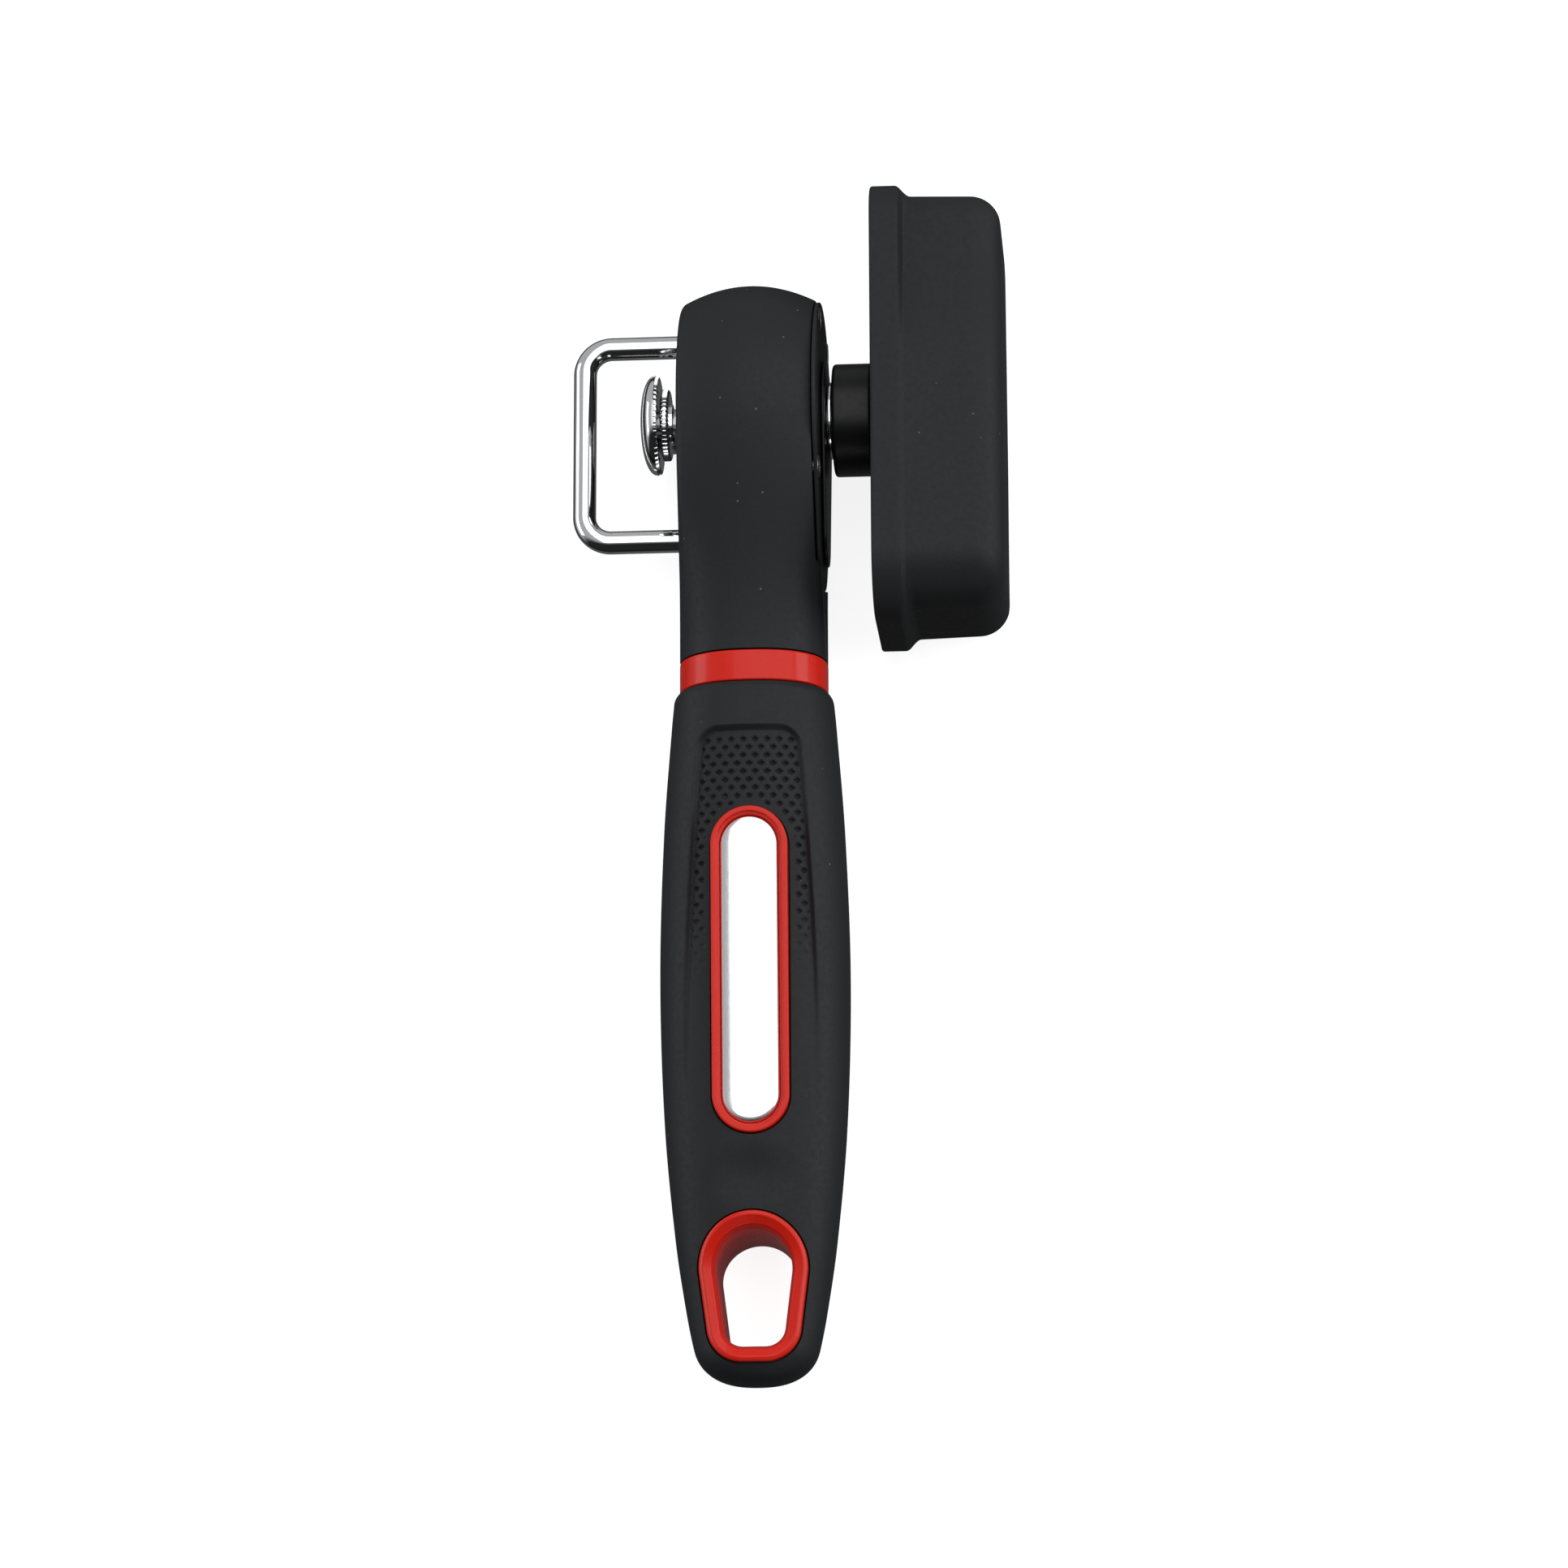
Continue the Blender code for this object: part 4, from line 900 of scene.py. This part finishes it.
def make_sleeve_pieces():
    """The left bush, and the sleeve, with its bore on the shaft's axis and its skin on its own."""
    inner = SLEEVE_RADIUS + GAP
    left = ((-11.7, inner), (-11.7, 6.8), (-4.9, 6.8), (-4.9, 8.2), (-3.9, 8.2), (-3.9, inner))
    piece("left_bush", turned_ring(left, SLEEVE_CENTRE))
    ends = (11.1, -13.4)
    edge = 4.6
    section = ((ends[0], edge), (ends[0], SLEEVE_RADIUS), (ends[1], SLEEVE_RADIUS), (ends[1], edge))
    loops = [circle(x, radius, SLEEVE_CENTRE) for x, radius in filleted(section, 0.35)]
    loops += [circle(x, SHAFT_RADIUS + GAP) for x in reversed(ends)]
    piece("eccentric_sleeve", loft(loops, closed=True))


def make_cutter():
    """The cutting wheel with its bush and spacer, and the fixed axle that they turn on."""
    axle = (
        (-18.8, 1.6), (-18.8, 2.3), (-18.5, 2.7), (-18.1, 2.7), (-18.1, 1.6), (-12.9, 1.6),
        (-12.9, 2.6), (-7.5, 2.6), (-7.5, 1.6), (-4.9, 1.6), (-4.9, 2.4), (-4.1, 2.0),
    )
    piece("cutter_axle", turned(axle, CUTTER_CENTRE, 0.2))
    piece("cutter_spacer", washer(-13.6, -13.2, 1.9, 3.4, CUTTER_CENTRE, 0.1))
    piece("cutter_bush", washer(-17.8, -13.9, 1.9, 2.6, CUTTER_CENTRE, 0.1))
    edge = ((-17.7, 2.9), (-17.7, 3.9), (-17.0, CUTTER_RADIUS), (-16.2, 4.1), (-14.0, 3.9), (-14.0, 2.9))
    piece("cutter_wheel", turned_ring(edge, CUTTER_CENTRE, 0.03, 128), 20)


def knob_outline():
    """The knob's outline in Y and Z, with two tight and two full corners, each pair opposite one another."""
    half_length, half_width = KNOB_HALF
    circles = []
    for side in (1, -1):
        circles.append((side * (half_length - KNOB_TIGHT), side * (half_width - KNOB_TIGHT), KNOB_TIGHT))
        circles.append((side * (half_length - KNOB_FULL), -side * (half_width - KNOB_FULL), KNOB_FULL))
    return spaced(hull(circles, 240), 0.8)


def spaced(outline, most):
    """The outline with more points along its straight sides, none further apart than given."""
    made = []
    for here, there in zip(outline, outline[1:] + outline[:1]):
        steps = max(1, math.ceil(math.hypot(there[0] - here[0], there[1] - here[1]) / most))
        for k in range(steps):
            t = k / steps
            made.append(tuple(a + (b - a) * t for a, b in zip(here, there)))
    return made


def knob_step(y, dy, dz):
    """How far the knob's body stands in from its flange: scooped on the tight-cornered half of each side."""
    scoop = smooth_step((math.copysign(y, y * dz) / KNOB_HALF[0] - 0.1) / 0.6)
    return 0.25 + 2.4 * scoop * dz * dz + 1.5 * dy * dy


def knob_depth(y, dy, dz, inset, share):
    """How far in the skin lies at a share of the step: a slope at the ends, and a wall on the sides."""
    slope = smooth_step(share)
    wall = smooth_step((share - 0.22) / 0.4)
    return inset + (slope + (wall - slope) * dz * dz) * knob_step(y, dy, dz)


def knob_loop(outline, x, inset, share):
    """One slice of the knob: the outline drawn in by an inset and by a share of the body's step.

    Where that is deeper than a tight corner's radius, the end and the side meet in a mitre.
    """
    corner = KNOB_HALF[0] - KNOB_TIGHT
    end = KNOB_HALF[0] - knob_depth(corner, 1, 0, inset, share)
    side = KNOB_HALF[1] - knob_depth(corner, 0, 1, inset, share)
    loop = []
    for y, z, dy, dz in outline:
        depth = knob_depth(y, dy, dz, inset, share)
        u, v = y - dy * depth, z - dz * depth
        if y * z > 0:
            u = math.copysign(min(abs(u), end), y)
            if abs(y) >= corner:
                v = math.copysign(min(abs(v), side), z)
        loop.append((x, u, v))
    return loop


def cup(outer, inner):
    """A hollow shell: outer loops from its mouth to its closed end, then inner loops back to its mouth."""
    count = len(outer[0])
    loops = outer + inner
    points = [point for loop in loops for point in loop]
    last_outer = len(outer) - 1
    faces = [tuple(range(last_outer * count, (last_outer + 1) * count))]
    faces.append(tuple(range((last_outer + 1) * count, (last_outer + 2) * count))[::-1])
    for k in range(len(loops)):
        if k == last_outer:
            continue
        here, there = k * count, (k + 1) % len(loops) * count
        for i in range(count):
            j = (i + 1) % count
            faces.append((here + i, here + j, there + j, there + i))
    return mesh_of(points, faces)


def knob_skin():
    """The knob's outer skin as (x, inset, share of the step), from its mouth to its rounded end."""
    flange = KNOB_FACE + KNOB_FLANGE
    step_start, step_end = flange - FLANGE_EDGE, flange + STEP_RUN
    straight = KNOB_END - KNOB_EDGE
    skin = []
    for turn in np.radians(np.linspace(0, 90, 6)):
        skin.append((KNOB_FACE + FLANGE_EDGE * (1 - math.cos(turn)), FLANGE_EDGE * (1 - math.sin(turn)), 0))
    for share in np.linspace(0, 1, 25):
        skin.append((step_start + (step_end - step_start) * share, STEP_DRAW * share, share))
    for share in np.linspace(0, 1, 12)[1:]:
        skin.append((step_end + (straight - step_end) * share, STEP_DRAW + BODY_DRAW * share, 1))
    for turn in np.radians(np.linspace(0, 90, 17))[1:]:
        inset = STEP_DRAW + BODY_DRAW + KNOB_EDGE * (1 - math.cos(turn))
        skin.append((straight + KNOB_EDGE * math.sin(turn), inset, 1))
    return skin


def knob_lining():
    """The knob's inner skin in the same form, from its closed end to its mouth."""
    flange = KNOB_FACE + KNOB_FLANGE
    ceiling = KNOB_END - KNOB_WALL
    return (
        (ceiling, 8.0, 1), (ceiling - 3.0, 4.4, 1), (flange + 2.0, 2.6, 1),
        (flange - 1.6, 2.6, 1), (flange - 2.2, 2.5, 0), (KNOB_FACE, 2.3, 0),
    )


def make_knob():
    """The knob's hollow shell, and the plate that closes its mouth."""
    outline = knob_outline()
    outer = [knob_loop(outline, *place) for place in knob_skin()]
    inner = [knob_loop(outline, *place) for place in knob_lining()]
    piece("knob_shell", cup(outer, inner))
    inside = KNOB_FACE + 2.2
    plate = filleted(((KNOB_FACE, 4.6), (KNOB_FACE, 2.6), (inside, 2.6), (inside, 4.6)), 0.35)
    piece("knob_base", loft([knob_loop(outline, x, inset, 0) for x, inset in plate]))


# ---------------------------------------------------------------- studio


def make_floor():
    """A pale floor. It neither lights the object nor is mirrored in it: the surroundings stand in for it."""
    size = 40.0
    corners = [(x * size, y * size, 0) for x, y in ((-1, -1), (1, -1), (1, 1), (-1, 1))]
    mesh = bpy.data.meshes.new("floor")
    mesh.from_pydata(corners, [], [(0, 1, 2, 3)])
    floor = bpy.data.objects.new("floor", mesh)
    bpy.context.scene.collection.objects.link(floor)
    finish = Finish("pale_floor", (0.42, 0.42, 0.42), 0.9, Specular_IOR_Level=0.0)
    finish.shader.inputs["Emission Color"].default_value = (1.0, 1.0, 1.0, 1.0)
    finish.shader.inputs["Emission Strength"].default_value = 0.86
    mesh.materials.append(finish.material)
    floor.visible_diffuse = False
    floor.visible_glossy = False


def make_light(name, place, size, power, aim=(0.0, -0.06, 0.0)):
    """A soft rectangular light at a place in metres, turned towards another."""
    data = bpy.data.lights.new(name, "AREA")
    data.shape = "RECTANGLE"
    data.size, data.size_y = size
    data.energy = power
    light = bpy.data.objects.new(name, data)
    bpy.context.scene.collection.objects.link(light)
    light.location = place
    light.rotation_mode = "QUATERNION"
    light.rotation_quaternion = (Vector(place) - Vector(aim)).to_track_quat("Z", "Y")


def make_world():
    """Pale surroundings, dark on the side where the handle ends and below the horizon, over a dim table."""
    world = bpy.data.worlds.new("studio")
    bpy.context.scene.world = world
    world.use_nodes = True
    tree = world.node_tree
    place = tree.nodes.new("ShaderNodeTexCoord")
    split = tree.nodes.new("ShaderNodeSeparateXYZ")
    tree.links.new(place.outputs["Generated"], split.inputs["Vector"])

    def ramp(axis, start, end, low, high):
        """From low to high while the direction's part along an axis goes from start to end."""
        made = tree.nodes.new("ShaderNodeMapRange")
        made.interpolation_type = "SMOOTHSTEP"
        for socket, value in (("From Min", start), ("From Max", end), ("To Min", low), ("To Max", high)):
            made.inputs[socket].default_value = value
        tree.links.new(split.outputs[axis], made.inputs["Value"])
        return made.outputs["Result"]

    def joined(operation, first, second):
        made = tree.nodes.new("ShaderNodeMath")
        made.operation = operation
        tree.links.new(first, made.inputs[0])
        tree.links.new(second, made.inputs[1])
        return made.outputs["Value"]

    side = ramp("Y", *HANDLE_SIDE_RISE, HANDLE_SIDE_DIM, 1)
    sky = ramp("Z", *SKY_RISE, SKY_DIM, SKY_STRENGTH)
    table = ramp("Z", *TABLE_RISE, 0, TABLE_STRENGTH)
    strength = joined("MAXIMUM", joined("MULTIPLY", side, sky), table)
    background = tree.nodes["Background"]
    background.inputs["Color"].default_value = (0.97, 0.985, 1.0, 1.0)
    tree.links.new(strength, background.inputs["Strength"])


def make_camera():
    azimuth, tilt = CAMERA_AZIMUTH, CAMERA_TILT
    back = Vector((math.sin(azimuth) * math.cos(tilt), math.sin(tilt), math.cos(azimuth) * math.cos(tilt)))
    level = Vector((math.cos(azimuth), 0, -math.sin(azimuth)))
    upright = back.cross(level)
    right = level * math.cos(CAMERA_ROLL) - upright * math.sin(CAMERA_ROLL)
    up = upright * math.cos(CAMERA_ROLL) + level * math.sin(CAMERA_ROLL)
    turn = Matrix((right, up, back)).transposed().to_4x4()
    place = Vector(CAMERA_TARGET) + back * CAMERA_DISTANCE
    data = bpy.data.cameras.new("camera")
    data.sensor_width = SENSOR
    data.lens = CAMERA_DISTANCE / CAMERA_SPAN * SENSOR
    data.clip_start, data.clip_end = 0.01, 20
    camera = bpy.data.objects.new("camera", data)
    bpy.context.scene.collection.objects.link(camera)
    camera.matrix_world = Matrix.Translation(TOOL @ place) @ Matrix.Rotation(LIE_ANGLE, 4, "X") @ turn
    bpy.context.scene.camera = camera


def main():
    make_camera()
    make_world()
    make_floor()
    make_light("key", (0.46, 0.34, 1.1), (1.56, 1.5), 8.8, (0.46, 0.34, 0.0))
    make_light("left", (-1.1, 0.12, 0.36), (1.1, 0.5), 4.2)
    make_light("right", (1.2, 0.0, 0.45), (0.9, 0.6), 5.2)
    make_light("foot", (0.25, -1.3, 0.16), (0.6, 0.3), 1.1)
    bpy.context.scene.view_settings.view_transform = "Standard"
    for name, obj in frame["nodes"].items():
        obj.data.materials.clear()
        obj.data.materials.append(FINISHES[SLOTS[name]])
    make_head()
    make_side_plate()
    make_cover_screws()
    make_bearing_cover()
    make_neck_ring()
    make_grip()
    make_grommet()
    make_bezel()
    make_badge_plate()
    make_bail()
    make_rim_roller()
    make_feed_wheel()
    make_hub_pieces()
    make_sleeve_pieces()
    make_cutter()
    make_knob()


main()
